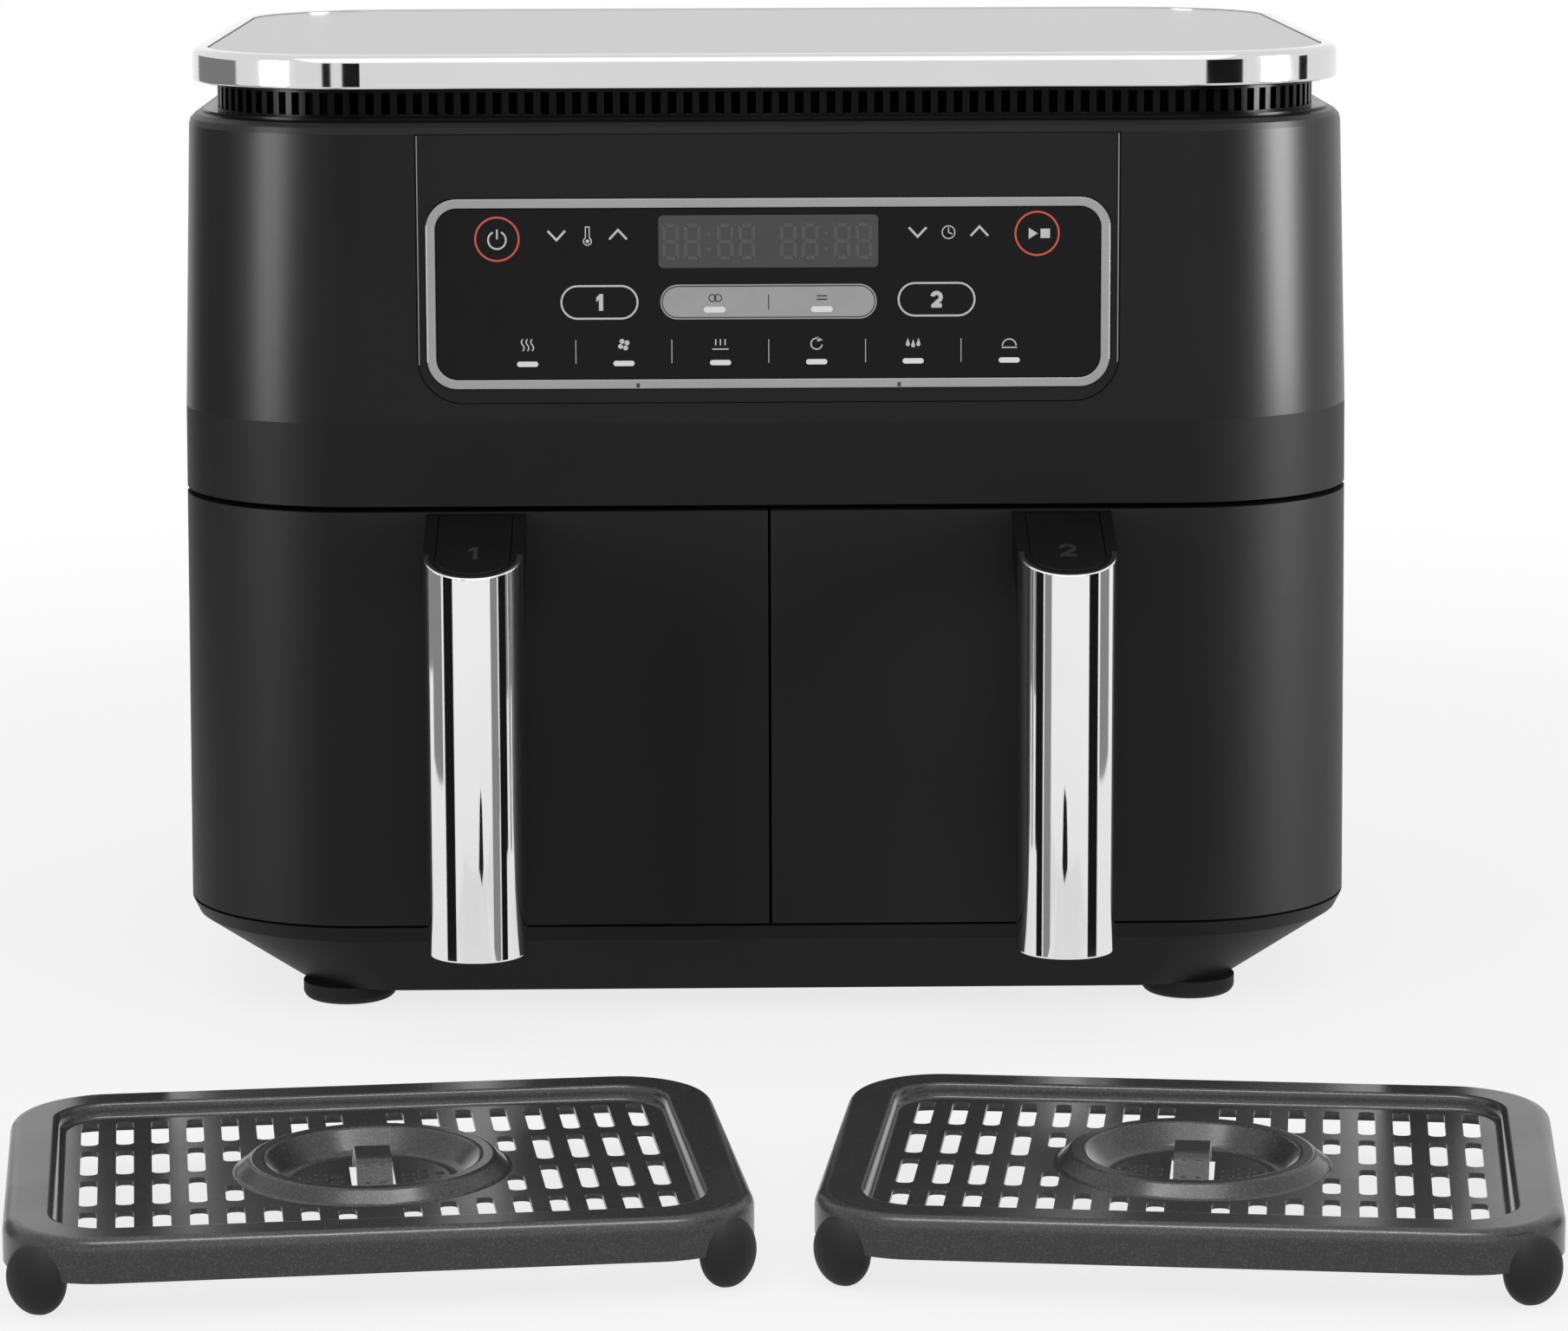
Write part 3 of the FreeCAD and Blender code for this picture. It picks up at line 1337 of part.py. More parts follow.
def make_vent_grille():
    """Ribbed intake between rim and lid: a flange on the rim, two hoops and upright ribs with open gaps."""
    ring = new_body()
    outline = level_sketch(ring, RIM)
    draw_rounded(outline, "0", "0", VENT_WIDTH, VENT_DEPTH, VENT_RADIUS)
    draw_rounded(outline, "0", "0", f"{VENT_WIDTH} - 2 * vent_wall", f"{VENT_DEPTH} - 2 * vent_wall",
                 f"{VENT_RADIUS} - vent_wall")
    pad(ring, outline, "vent_height")
    flange = level_sketch(ring, RIM)
    edge = "(rim_fillet + vent_flange_gap)"
    draw_rounded(flange, "0", "0", f"rim_width - 2 * {edge}", f"body_depth - 2 * {edge}",
                 f"corner_radius - {edge}")
    draw_rounded(flange, "0", "0", f"{VENT_WIDTH} - vent_wall", f"{VENT_DEPTH} - vent_wall",
                 f"{VENT_RADIUS} - vent_wall / 2")
    pad(ring, flange, "vent_flange")
    wall, gap, tall = size("vent_wall"), size("vent_slot"), size("vent_height - 2 * vent_hoop")
    bottom = size(f"{RIM} + vent_hoop")
    gaps = []
    for point, angle in perimeter_places(size(VENT_WIDTH), size(VENT_DEPTH), size(VENT_RADIUS),
                                         size("vent_pitch")):
        slot = Part.makeBox(2 * wall, gap, tall, FreeCAD.Vector(-1.5 * wall, -gap / 2, bottom))
        slot.Placement = FreeCAD.Placement(point, FreeCAD.Rotation(UP, math.degrees(angle)))
        gaps.append(slot)
    cut(ring, shaped(Part.makeCompound(gaps)), "vent_grille")


def lid_outline(body, height, inset):
    """A sketch of the lid's outline, drawn in by an inset."""
    sketch = level_sketch(body, height)
    draw_rounded(sketch, "0", "0", f"{LID_WIDTH} - 2 * ({inset})", f"{LID_DEPTH} - 2 * ({inset})",
                 f"{LID_RADIUS} - ({inset})")
    return sketch


def make_lid_band():
    """Polished band round the lid."""
    body = new_body("lid_band")
    pad(body, lid_outline(body, LID_BOTTOM, "0"), "lid_height")
    fillet(body, "band_top_fillet", lies_at("Z", LID_TOP))
    fillet(body, "band_bottom_fillet", lies_at("Z", LID_BOTTOM))
    pocket(body, lid_outline(body, LID_TOP, "band_width"), "lid_height")


def make_lid_tray():
    """Carrier inside the band: a floor on the grille, a wall round it and cross ribs under the top sheet."""
    body = new_body("lid_tray")
    top = f"({LID_TOP} - lid_plate_set - lid_plate_thickness)"
    floor = f"({LID_BOTTOM} + lid_tray_floor)"
    edge = "(band_width + part_gap)"
    pad(body, lid_outline(body, LID_BOTTOM, edge), f"{top} - {LID_BOTTOM}")
    pocket(body, lid_outline(body, top, f"{edge} + lid_tray_wall"), f"{top} - {floor}")
    ribs = level_sketch(body, floor)
    for side in (-1, 1):
        middle = f"{side} * {LID_WIDTH} / 6"
        reach = f"({LID_DEPTH} / 2 - {edge} - lid_tray_wall / 2)"
        draw_rectangle(ribs, f"{middle} - lid_rib_thickness / 2", f"{middle} + lid_rib_thickness / 2",
                       f"-{reach}", reach)
    pad(body, ribs, f"{top} - {floor}")


def make_lid_plate():
    """Brushed top sheet, let into the band."""
    body = new_body("lid_plate")
    sketch = lid_outline(body, f"{LID_TOP} - lid_plate_set - lid_plate_thickness", "band_width + part_gap")
    pad(body, sketch, "lid_plate_thickness")


# Drawers.


def handle_screw_heights():
    """Heights of the two screws behind a handle's neck."""
    middle = f"({NECK_BOTTOM} + neck_height / 2 - handle_screw_drop)"
    return [f"{middle} + {step} * handle_screw_spacing / 2" for step in (-1, 1)]


def make_drawer_front(zone):
    """Front shell that wraps the housing's corner, closed above and below and open at the back."""
    side = zone["side"]
    body = new_body(f"drawer_front_{zone['number']}")
    outer = []
    for height in (DRAWER_BOTTOM, DRAWER_TOP):
        sketch = level_sketch(body, height)
        draw_front_corner(sketch, side, "(drawer_split / 2)", f"({width_at(height)} / 2)", FRONT, DRAWER_REAR,
                          "corner_radius")
        outer.append(sketch)
    loft(body, "AdditiveLoft", outer)
    inner = []
    for height in (f"({DRAWER_BOTTOM} + drawer_wall)", f"({DRAWER_TOP} - drawer_wall)"):
        sketch = level_sketch(body, height)
        draw_front_corner(sketch, side, "(drawer_split / 2 + drawer_wall)",
                          f"({width_at(height)} / 2 - drawer_wall)",
                          f"{FRONT} + drawer_wall", f"{DRAWER_REAR} + drawer_wall",
                          "corner_radius - drawer_wall")
        inner.append(sketch)
    loft(body, "SubtractiveLoft", inner)
    round_outer_corner(body, side)
    holes = facing_sketch(body, FRONT)
    for height in handle_screw_heights():
        draw_circle(holes, f"{side} * {ZONE_X}", height, "screw_radius + screw_clearance")
    pocket(body, holes, "drawer_wall")


def round_outer_corner(body, side):
    """Round the drawer front's upper rear corner where it shows in the housing's side."""
    sketch = side_sketch(body, f"{side} * (base_width / 2 - 2 * drawer_wall)")
    rear, top = size(DRAWER_REAR), size(DRAWER_TOP)
    bend = size("drawer_corner")
    corner = FreeCAD.Vector(rear, top, 0)
    upper = corner - FreeCAD.Vector(bend, 0, 0)
    lower = corner - FreeCAD.Vector(0, bend, 0)
    sketch.addGeometry(corner_arc(rear - bend, top - bend, bend, 0))
    sketch.addGeometry(Part.LineSegment(upper, corner))
    sketch.addGeometry(Part.LineSegment(corner, lower))
    relations = [
        ("Tangent", 0, 2, 1, 1),
        ("Coincident", 1, 2, 2, 1),
        ("Tangent", 2, 2, 0, 1),
        ("Horizontal", 1),
        ("Vertical", 2),
    ]
    constrain(sketch, relations, [
        at_x(1, 2, DRAWER_REAR),
        at_y(1, 2, DRAWER_TOP),
        ("Radius", (0,), "drawer_corner"),
    ])
    pocket(body, sketch, "3 * drawer_wall", forward=side > 0)


def make_drawer_back(zone):
    """Plate that closes the drawer front's back and carries the basket."""
    side = zone["side"]
    body = new_body(f"drawer_back_{zone['number']}")
    low = f"({DRAWER_BOTTOM} + drawer_wall + part_gap)"
    high = f"({DRAWER_TOP} - drawer_wall - part_gap)"
    inner = f"{side} * (drawer_split / 2 + drawer_wall + part_gap)"
    outer_low = f"{side} * ({width_at(low)} / 2 - drawer_wall - part_gap)"
    outer_high = f"{side} * ({width_at(high)} / 2 - drawer_wall - part_gap)"
    plate = facing_sketch(body, f"{DRAWER_REAR} - drawer_back_set")
    draw_polygon(plate, [(inner, low), (outer_low, low), (outer_high, high), (inner, high)])
    pad(body, plate, "drawer_back_thickness")


def make_basket(zone):
    """Deep cooking pan with round corners and a flange that runs on the rails."""
    side = zone["side"]
    middle = f"{side} * {ZONE_X}"
    length = f"({BASKET_BACK} - {BASKET_FRONT})"
    centre = f"(({BASKET_BACK} + {BASKET_FRONT}) / 2)"
    body = new_body(f"basket_{zone['number']}")
    outline = level_sketch(body, BASKET_FLOOR)
    draw_rounded(outline, middle, centre, BASKET_WIDTH, length, "basket_corner")
    pad(body, outline, f"{BASKET_TOP} - {BASKET_FLOOR}")
    fillet(body, "basket_floor_fillet", lies_at("Z", BASKET_FLOOR))
    hollow(body, "basket_wall", lies_at("Z", BASKET_TOP))
    flange = level_sketch(body, BASKET_TOP)
    draw_rounded(flange, middle, f"{centre} + basket_flange / 2", f"{BASKET_WIDTH} + 2 * basket_flange",
                 f"{length} + basket_flange", "basket_corner + basket_flange")
    draw_rounded(flange, middle, centre, f"{BASKET_WIDTH} - 2 * basket_wall", f"{length} - 2 * basket_wall",
                 "basket_corner - basket_wall")
    pad(body, flange, "basket_flange_thickness", backward=True)


def slope_height(depth):
    """Height of a handle's sloping top at a depth."""
    return f"({HANDLE_TOP} + cap_rise * ({depth} - {HANDLE_FRONT}) / handle_reach)"


def cut_sloping_top(body, middle):
    """Take away all of a handle's piece that lies over its sloping top."""
    start = f"({HANDLE_FRONT} - part_gap)"
    sketch = side_sketch(body, f"{middle} - handle_width")
    above = f"({DRAWER_TOP} + cap_rise)"
    draw_polygon(sketch, [(start, slope_height(start)), (FRONT, slope_height(FRONT)), (FRONT, above),
                          (start, above)])
    pocket(body, sketch, "2 * handle_width", forward=True)


def make_handle_cover(zone):
    """Bright U-shaped shell round the front and the sides of the grip."""
    middle = f"{zone['side']} * {ZONE_X}"
    body = new_body(f"handle_cover_{zone['number']}")
    outline = level_sketch(body, HANDLE_BOTTOM)
    draw_rectangle(outline, f"{middle} - handle_width / 2", f"{middle} + handle_width / 2", HANDLE_FRONT,
                   f"{HANDLE_FRONT} + cover_depth")
    pad(body, outline, f"{DRAWER_TOP} - {HANDLE_BOTTOM}")
    fillet(body, "cover_corner", all_of(runs_along("Z"), lies_at("Y", HANDLE_FRONT)))
    space = level_sketch(body, HANDLE_BOTTOM)
    length = "(cover_depth + 2 * cover_corner)"
    draw_rounded(space, middle, f"{HANDLE_FRONT} + cover_wall + {length} / 2",
                 "handle_width - 2 * cover_wall", length,
                 "cover_corner - cover_wall")
    pocket(body, space, f"{DRAWER_TOP} - {HANDLE_BOTTOM}", forward=True)
    cut_sloping_top(body, middle)
    reach, near = size("handle_width / 2 - cover_wall / 2"), size(f"{HANDLE_FRONT} + cover_wall / 2")
    rear, centre = size(f"{HANDLE_FRONT} + cover_depth"), size(middle)

    def outer(edge):
        ends = [vertex.Point for vertex in edge.Vertexes]
        outside = any(abs(end.x - centre) > reach or end.y < near for end in ends)
        return outside and not all(abs(end.y - rear) < NEAR for end in ends)
    fillet(body, "cover_lip", all_of(on_sloping_top, outer))
    fillet(body, "cover_lip", all_of(lies_at("Z", HANDLE_BOTTOM), outer))


def on_sloping_top(edge):
    """A test for edges that lie in a handle's sloping top."""
    rise, front, top = size("cap_rise / handle_reach"), size(HANDLE_FRONT), size(HANDLE_TOP)
    points = edge.discretize(POINTS_ON_EDGE)
    return all(abs(point.z - top - rise * (point.y - front)) < NEAR for point in points)


def cap_sketch(body, zone, gap):
    """A sketch of the cap's outline on the handle's sloping top, drawn in by a gap."""
    sketch = level_sketch(body, "0")
    slope = math.degrees(math.atan2(size("cap_rise"), size("handle_reach")))
    sketch.AttachmentOffset = FreeCAD.Placement(FreeCAD.Vector(0, 0, 0),
                                                FreeCAD.Rotation(FreeCAD.Vector(1, 0, 0), slope))
    bind(sketch, {
        "AttachmentOffset.Base.x": f"{zone['side']} * {ZONE_X}",
        "AttachmentOffset.Base.y": HANDLE_FRONT,
        "AttachmentOffset.Base.z": HANDLE_TOP,
        "AttachmentOffset.Rotation.Angle": "atan(cap_rise / handle_reach)",
    })
    slope_length = "sqrt(handle_reach * handle_reach + cap_rise * cap_rise)"
    draw_nose(sketch, f"cap_margin + {gap}", f"{slope_length} - (cap_rear_margin + {gap})",
              f"handle_width - 2 * (cap_margin + {gap})", f"cap_corner - {gap}")
    return sketch


def make_handle_core(zone):
    """Dark grip inside the cover, with the neck that joins the drawer and a seat for the cap."""
    middle = f"{zone['side']} * {ZONE_X}"
    body = new_body(f"handle_core_{zone['number']}")
    start = f"({HANDLE_FRONT} + cover_wall + cover_fit)"
    grip = f"({HANDLE_FRONT} + bar_depth)"
    side_view = side_sketch(body, f"{middle} - handle_width / 2 - core_flare")
    draw_polygon(side_view,
                 [(start, HANDLE_BOTTOM), (grip, HANDLE_BOTTOM), (grip, f"{NECK_BOTTOM} - neck_drop"),
                  (FRONT, NECK_BOTTOM), (FRONT, slope_height(FRONT)), (start, slope_height(start))])
    pad(body, side_view, "handle_width + 2 * core_flare")
    fillet(body, "neck_fillet", all_of(runs_along("X"), lies_at("Z", f"{NECK_BOTTOM} - neck_drop")))
    fillet(body, "grip_fillet", all_of(runs_along("Z"), lies_at("Y", grip)))
    inset = "(cover_wall + cover_fit)"
    sides = level_sketch(body, HANDLE_BOTTOM)
    for hand in (-1, 1):
        edges = [f"{middle} + {hand} * handle_width", f"{middle} + {hand} * (handle_width / 2 - {inset})"]
        left, right = edges if hand < 0 else reversed(edges)
        draw_rectangle(sides, left, right, f"{HANDLE_FRONT} - cover_depth",
                       f"{HANDLE_FRONT} + cover_depth + cover_fit")
    pocket(body, sides, f"{DRAWER_TOP} - {HANDLE_BOTTOM}", forward=True)
    fillet(body, f"cover_corner - {inset}", all_of(runs_along("Z"), lies_at("Y", start)))
    pocket(body, cap_sketch(body, zone, "0"), "cap_thickness + cap_gap")


def make_handle_cap(zone):
    """Dark cap let into the handle's sloping top."""
    body = new_body(f"handle_cap_{zone['number']}")
    pad(body, cap_sketch(body, zone, "cap_gap"), "cap_thickness", backward=True)
    fillet(body, "cap_lip", on_sloping_top)


def make_handle_screws(zone):
    """Screws from inside the drawer front into the handle's neck."""
    screws = []
    for height in handle_screw_heights():
        screw = new_screw("drawer_wall")
        screw.Placement.Rotation = FreeCAD.Rotation(FreeCAD.Vector(1, 0, 0), 90)
        place(screw, f"{zone['side']} * {ZONE_X}", f"{FRONT} + drawer_wall + screw_head_height", height)
        screws.append(screw)
    group(f"handle_screws_{zone['number']}", screws)


# Crisper plates.


def slot_columns():
    """Places of the slot columns along the plate, the middle pair set wider apart."""
    steps = range(SLOT_COLUMNS_PER_SIDE)
    right = [size(f"slot_middle_gap / 2 + {step} * slot_column_pitch") for step in steps]
    return [-x for x in reversed(right)] + right


def slot_spans(x, row):
    """The slot of a row at a column, cut short where it would run into the raised ring."""
    middle = size(f"({row} - {SLOT_ROWS - 1} / 2) * slot_row_pitch")
    half = size("slot_length / 2")
    low, high = middle - half, middle + half
    ring = size("ring_radius + slot_ring_margin")
    if abs(x) < ring:
        keep_out = math.sqrt(ring ** 2 - x ** 2)
        low, high = (max(low, keep_out), high) if middle > 0 else (low, min(high, -keep_out))
    return low, high


def rounded_prism(left, right, low, high, radius, bottom, height):
    """An upright bar of rounded rectangular section."""
    bend = min(radius, (high - low) / 2 * 0.9)
    bar = Part.makeBox(right - left, high - low, height, FreeCAD.Vector(left, low, bottom))
    upright = [edge for edge in bar.Edges if runs_along("Z")(edge)]
    return bar.makeFillet(bend, upright)


def slot_cutters():
    """All the slots of a plate as bars to cut with."""
    half, bend = size("slot_width / 2"), size("slot_corner")
    bottom, height = size(f"{FIELD_TOP} - 2 * plate_sheet"), size("3 * plate_sheet")
    bars = []
    for row in range(SLOT_ROWS):
        for x in slot_columns():
            low, high = slot_spans(x, row)
            if high - low > size("slot_least_length"):
                bars.append(rounded_prism(x - half, x + half, low, high, bend, bottom, height))
    return bars


def make_plate_form():
    """Pressed plate before slotting: skirt, rolled rim, sunk field, raised ring, bowl and finger bridge."""
    body = new_body()
    skirt = level_sketch(body, "plate_skirt")
    draw_rounded(skirt, "0", "0", "plate_length", "plate_width", "plate_corner")
    pad(body, skirt, "plate_top - plate_skirt")
    hollow = level_sketch(body, "plate_skirt")
    draw_rounded(hollow, "0", "0", "plate_length - 2 * plate_sheet", "plate_width - 2 * plate_sheet",
                 "plate_corner - plate_sheet")
    pocket(body, hollow, "plate_top - plate_skirt - plate_sheet", forward=True)
    fillet(body, "plate_edge_fillet - plate_sheet", lies_at("Z", "plate_top - plate_sheet"))
    field_length, field_width = "(plate_length - 2 * plate_rim)", "(plate_width - 2 * plate_rim)"
    floor = level_sketch(body, f"{FIELD_TOP} - plate_sheet")
    draw_rounded(floor, "0", "0", f"{field_length} + 2 * plate_sheet", f"{field_width} + 2 * plate_sheet",
                 "plate_field_corner + plate_sheet")
    pad(body, floor, "plate_field_drop")
    field = level_sketch(body, "plate_top")
    draw_rounded(field, "0", "0", field_length, field_width, "plate_field_corner")
    pocket(body, field, "plate_field_drop")
    fillet(body, "plate_edge_fillet", all_of(lies_at("Z", "plate_top"), outside_field))
    fillet(body, "plate_lip_fillet", all_of(lies_at("Z", "plate_top"), lambda edge: not outside_field(edge)))
    mouth = level_sketch(body, FIELD_TOP)
    draw_circle(mouth, "0", "0", "ring_radius")
    pocket(body, mouth, "plate_sheet")
    ring = facing_sketch(body, "0")
    crest_inner = "(crest_radius - crest_flat)"
    draw_polygon(ring, [
        ("ring_radius + plate_sheet", FIELD_TOP), ("crest_radius", RING_TOP), (crest_inner, RING_TOP),
        ("bowl_radius", BOWL_TOP), ("0", BOWL_TOP), ("0", f"{BOWL_TOP} - plate_sheet"),
        ("bowl_radius + 0.6 * plate_sheet", f"{BOWL_TOP} - plate_sheet"),
        (f"{crest_inner} + 0.6 * plate_sheet", f"{RING_TOP} - plate_sheet"),
        ("crest_radius - 0.5 * plate_sheet", f"{RING_TOP} - plate_sheet"),
        ("ring_radius + 0.5 * plate_sheet", f"{FIELD_TOP} - plate_sheet"),
    ])
    add_feature(body, "Revolution", Profile=ring, ReferenceAxis=(ring, ["V_Axis"]), Angle=FULL_TURN)
    doc.recompute()
    fillet(body, "crest_fillet", lies_at("Z", RING_TOP))
    fillet(body, "bowl_fillet", lies_at("Z", BOWL_TOP))
    fillet(body, "field_fillet", lies_at("Z", FIELD_TOP))
    add_bridge(body)
    return body


def add_bridge(body):
    """Finger bridge pressed up out of the bowl's floor, with the opening it leaves and two ribs."""
    opening = level_sketch(body, BOWL_TOP)
    across, along = "(bridge_width / 2 + bridge_slit)", "(bridge_reach - plate_sheet)"
    draw_rectangle(opening, f"-{across}", across, f"-{along}", along)
    pocket(body, opening, "plate_sheet")
    under = f"({BOWL_TOP} - plate_sheet)"
    foot, crest = "(bridge_reach - 0.9 * plate_sheet)", "(bridge_crest - 0.3 * plate_sheet)"
    strip = side_sketch(body, "-bridge_width / 2")
    draw_polygon(strip, [
        ("-bridge_reach", under), ("-bridge_reach", BOWL_TOP), ("-bridge_crest", BRIDGE_TOP),
        ("bridge_crest", BRIDGE_TOP), ("bridge_reach", BOWL_TOP), ("bridge_reach", under), (foot, under),
        (crest, f"{BRIDGE_TOP} - plate_sheet"), (f"-{crest}", f"{BRIDGE_TOP} - plate_sheet"),
        (f"-{foot}", under),
    ])
    pad(body, strip, "bridge_width")
    fillet(body, "bridge_fillet", all_of(runs_along("X"), lies_at("Z", BRIDGE_TOP)))
    for side in (-1, 1):
        rib = side_sketch(body, f"{side} * bridge_rib_spacing / 2 - bridge_rib_width / 2")
        draw_polygon(rib, [bridge_slope(0.2, "0.3"), bridge_slope(0.2, "-bridge_rib_height"),
                           bridge_slope(0.6, "-bridge_rib_height"), bridge_slope(0.6, "0.3")])
        pad(body, rib, "bridge_rib_width")


def bridge_slope(share, out):
    """A point beside the bridge's front slope, at a share of the way down from its crest."""
    return (f"-(bridge_crest + {share} * (bridge_reach - bridge_crest)) + {out}",
            f"{BRIDGE_TOP} - {share} * bridge_rise")


def outside_field(edge):
    """A test for edges that reach out past the plate's sunk field."""
    across, along = size("plate_length / 2 - plate_rim"), size("plate_width / 2 - plate_rim")
    middle = edge.CenterOfMass
    return abs(middle.x) > across + NEAR or abs(middle.y) > along + NEAR


def drain_cutters():
    """Small round drains through the bowl's floor, a rosette on each side of the bridge."""
    radius, pitch = size("drain_radius"), size("drain_pitch")
    bottom, height = size(f"{BOWL_TOP} - 2 * plate_sheet"), size("3 * plate_sheet")
    drains = []
    for side in (-1, 1):
        middle = FreeCAD.Vector(side * size("drain_place"), 0, bottom)
        drains.append(Part.makeCylinder(radius, height, middle))
        for step in range(DRAINS_IN_RING):
            spoke = FreeCAD.Vector(pitch, 0, 0)
            turn = FreeCAD.Rotation(UP, (step + 0.5) * FULL_TURN / DRAINS_IN_RING)
            drains.append(Part.makeCylinder(radius, height, middle + turn.multVec(spoke)))
    return drains


def make_crisper_plates():
    """Slotted plates, both pressed alike and each lying in its own place on the table."""
    openings = shaped(Part.makeCompound(slot_cutters() + drain_cutters()))
    pressed = cut(make_plate_form(), openings)
    for zone in ZONES:
        lay_on_table(group(f"crisper_plate_{zone['number']}", [pressed]), zone)


def plate_rim_block():
    """A block that fills the space inside a plate's skirt, and a slab under the table's level."""
    reach, height = size("bumper_fit"), size("bumper_height")
    length, width = size("plate_length") + 2 * reach, size("plate_width") + 2 * reach
    corner = FreeCAD.Vector(-length / 2, -width / 2, size("plate_skirt") - reach)
    rim = Part.makeBox(length, width, height, corner)
    rim = rim.makeFillet(size("plate_corner") + reach, [edge for edge in rim.Edges if runs_along("Z")(edge)])
    table = Part.makeBox(2 * length, 2 * length, height, FreeCAD.Vector(-length, -length, -height))
    return shaped(Part.makeCompound([rim, table]))


def make_plate_feet():
    """Soft egg-shaped bumpers at the plates' corners, hooked under the skirt and flat where they stand."""
    keep_out = plate_rim_block()
    bumpers = []
    for turn in CORNER_TURNS:
        egg = doc.addObject("Part::Ellipsoid", "Bumper")
        bind(egg, {"Radius1": "bumper_height / 2", "Radius2": "bumper_depth / 2",
                   "Radius3": "bumper_width / 2"})
        across, along = (1 if abs(turn) < 90 else -1), (1 if turn > 0 else -1)
        reach = "(plate_corner + bumper_offset) * sqrt(0.5)"
        egg.Placement.Rotation = FreeCAD.Rotation(UP, turn)
        place(egg, f"{across} * (plate_length / 2 - plate_corner + {reach})",
              f"{along} * (plate_width / 2 - plate_corner + {reach})", "bumper_height / 2 - bumper_flat")
        bumpers.append(cut(egg, keep_out))
    for zone in ZONES:
        lay_on_table(group(f"plate_feet_{zone['number']}", bumpers), zone)


def lay_on_table(target, zone):
    """Turn and move a piece of a crisper plate to the plate's place in front of the fryer."""
    turn = FreeCAD.Rotation(UP, zone["plate_turn"])
    target.Placement = FreeCAD.Placement(FreeCAD.Vector(zone["plate_x"], zone["plate_y"], 0), turn)
    doc.recompute()


# The whole fryer, from the table up.


def check_and_write():
    """Stop at any failed object, then write each piece to a file of its own."""
    failed = [target.Label for target in doc.Objects if {"Invalid", "Error"} & set(target.State)]
    failed += [label for label,
               target in pieces.items() if target.Shape.isNull() or not target.Shape.isValid()]
    if failed:
        raise ValueError(f"failed: {failed}")
    os.makedirs("parts", exist_ok=True)
    for label, target in pieces.items():
        target.Shape.exportStep(f"parts/{label}.step")


make_base_tray()
make_rubber_feet()
make_base_screws()
make_lower_housing()
make_upper_housing()
make_rear_cover()
make_rear_screws()
make_cord_gland()
make_front_frame()
make_motor_deck()
make_control_board()
make_power_board()
make_panel_insert()
make_control_bezel()
make_touch_panel()
make_display_window()
make_mode_key_plate()
make_vent_grille()
make_lid_band()
make_lid_tray()
make_lid_plate()
for zone in ZONES:
    make_cavity_liner(zone)
    make_drawer_rails(zone)
    make_heating_element(zone)
    make_fan_motor(zone)
    make_fan_shaft(zone)
    make_fans(zone)
    make_temperature_probe(zone)
    make_drawer_switch(zone)
    make_drawer_front(zone)
    make_drawer_back(zone)
    make_basket(zone)
    make_handle_core(zone)
    make_handle_cover(zone)
    make_handle_cap(zone)
    make_handle_screws(zone)
make_crisper_plates()
make_plate_feet()
doc.recompute()
check_and_write()
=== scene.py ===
import math

import bmesh
import bpy
from mathutils import Matrix, Vector


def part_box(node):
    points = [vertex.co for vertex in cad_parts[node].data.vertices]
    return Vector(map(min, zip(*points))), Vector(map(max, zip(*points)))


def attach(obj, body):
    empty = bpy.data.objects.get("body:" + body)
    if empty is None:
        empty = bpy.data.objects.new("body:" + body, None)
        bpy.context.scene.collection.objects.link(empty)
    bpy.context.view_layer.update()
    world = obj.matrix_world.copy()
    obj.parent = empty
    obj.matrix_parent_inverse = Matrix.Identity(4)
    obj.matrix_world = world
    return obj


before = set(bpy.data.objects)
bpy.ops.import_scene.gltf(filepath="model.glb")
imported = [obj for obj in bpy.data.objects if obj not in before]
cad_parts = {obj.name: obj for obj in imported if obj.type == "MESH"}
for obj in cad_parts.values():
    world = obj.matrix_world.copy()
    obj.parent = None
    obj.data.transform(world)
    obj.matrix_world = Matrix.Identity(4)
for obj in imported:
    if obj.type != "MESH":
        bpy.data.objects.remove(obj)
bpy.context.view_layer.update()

# Housing: base tray, lower walls, control head, frame behind the drawers, lid tray and panel insert.
# Injection-moulded black plastic with a fine spark-eroded grain, snapped together and screwed from below.


def new_group(name, inputs, outputs):
    """A shader node group with named number inputs and outputs, and its two end nodes."""
    group = bpy.data.node_groups.new(name, "ShaderNodeTree")
    for label, start in inputs.items():
        socket = group.interface.new_socket(label, in_out="INPUT", socket_type="NodeSocketFloat")
        socket.default_value = start
    for label in outputs:
        group.interface.new_socket(label, in_out="OUTPUT", socket_type="NodeSocketFloat")
    return group, group.nodes.new("NodeGroupInput"), group.nodes.new("NodeGroupOutput")


def add_node(tree, kind, sockets=None, **settings):
    """A node with its settings; each socket takes a value or a link from another node's output."""
    made = tree.nodes.new(kind)
    for label, value in settings.items():
        setattr(made, label, value)
    for label, value in (sockets or {}).items():
        if isinstance(value, bpy.types.NodeSocket):
            tree.links.new(value, made.inputs[label])
        else:
            made.inputs[label].default_value = value
    return made


def calculate(tree, operation, one, other):
    """The output of a node that works out one number from two."""
    return add_node(tree, "ShaderNodeMath", {0: one, 1: other}, operation=operation).outputs[0]


def noise_at(tree, size, stretch=(1, 1, 1), detail=2.0):
    """Noise of a feature size in metres, fixed to the piece it is on."""
    place = add_node(tree, "ShaderNodeTexCoord").outputs["Object"]
    along = add_node(tree, "ShaderNodeMapping", {"Vector": place, "Scale": stretch})
    count = calculate(tree, "DIVIDE", 1.0, size)
    sockets = {"Vector": along.outputs[0], "Scale": count, "Detail": detail}
    return add_node(tree, "ShaderNodeTexNoise", sockets).outputs["Fac"]


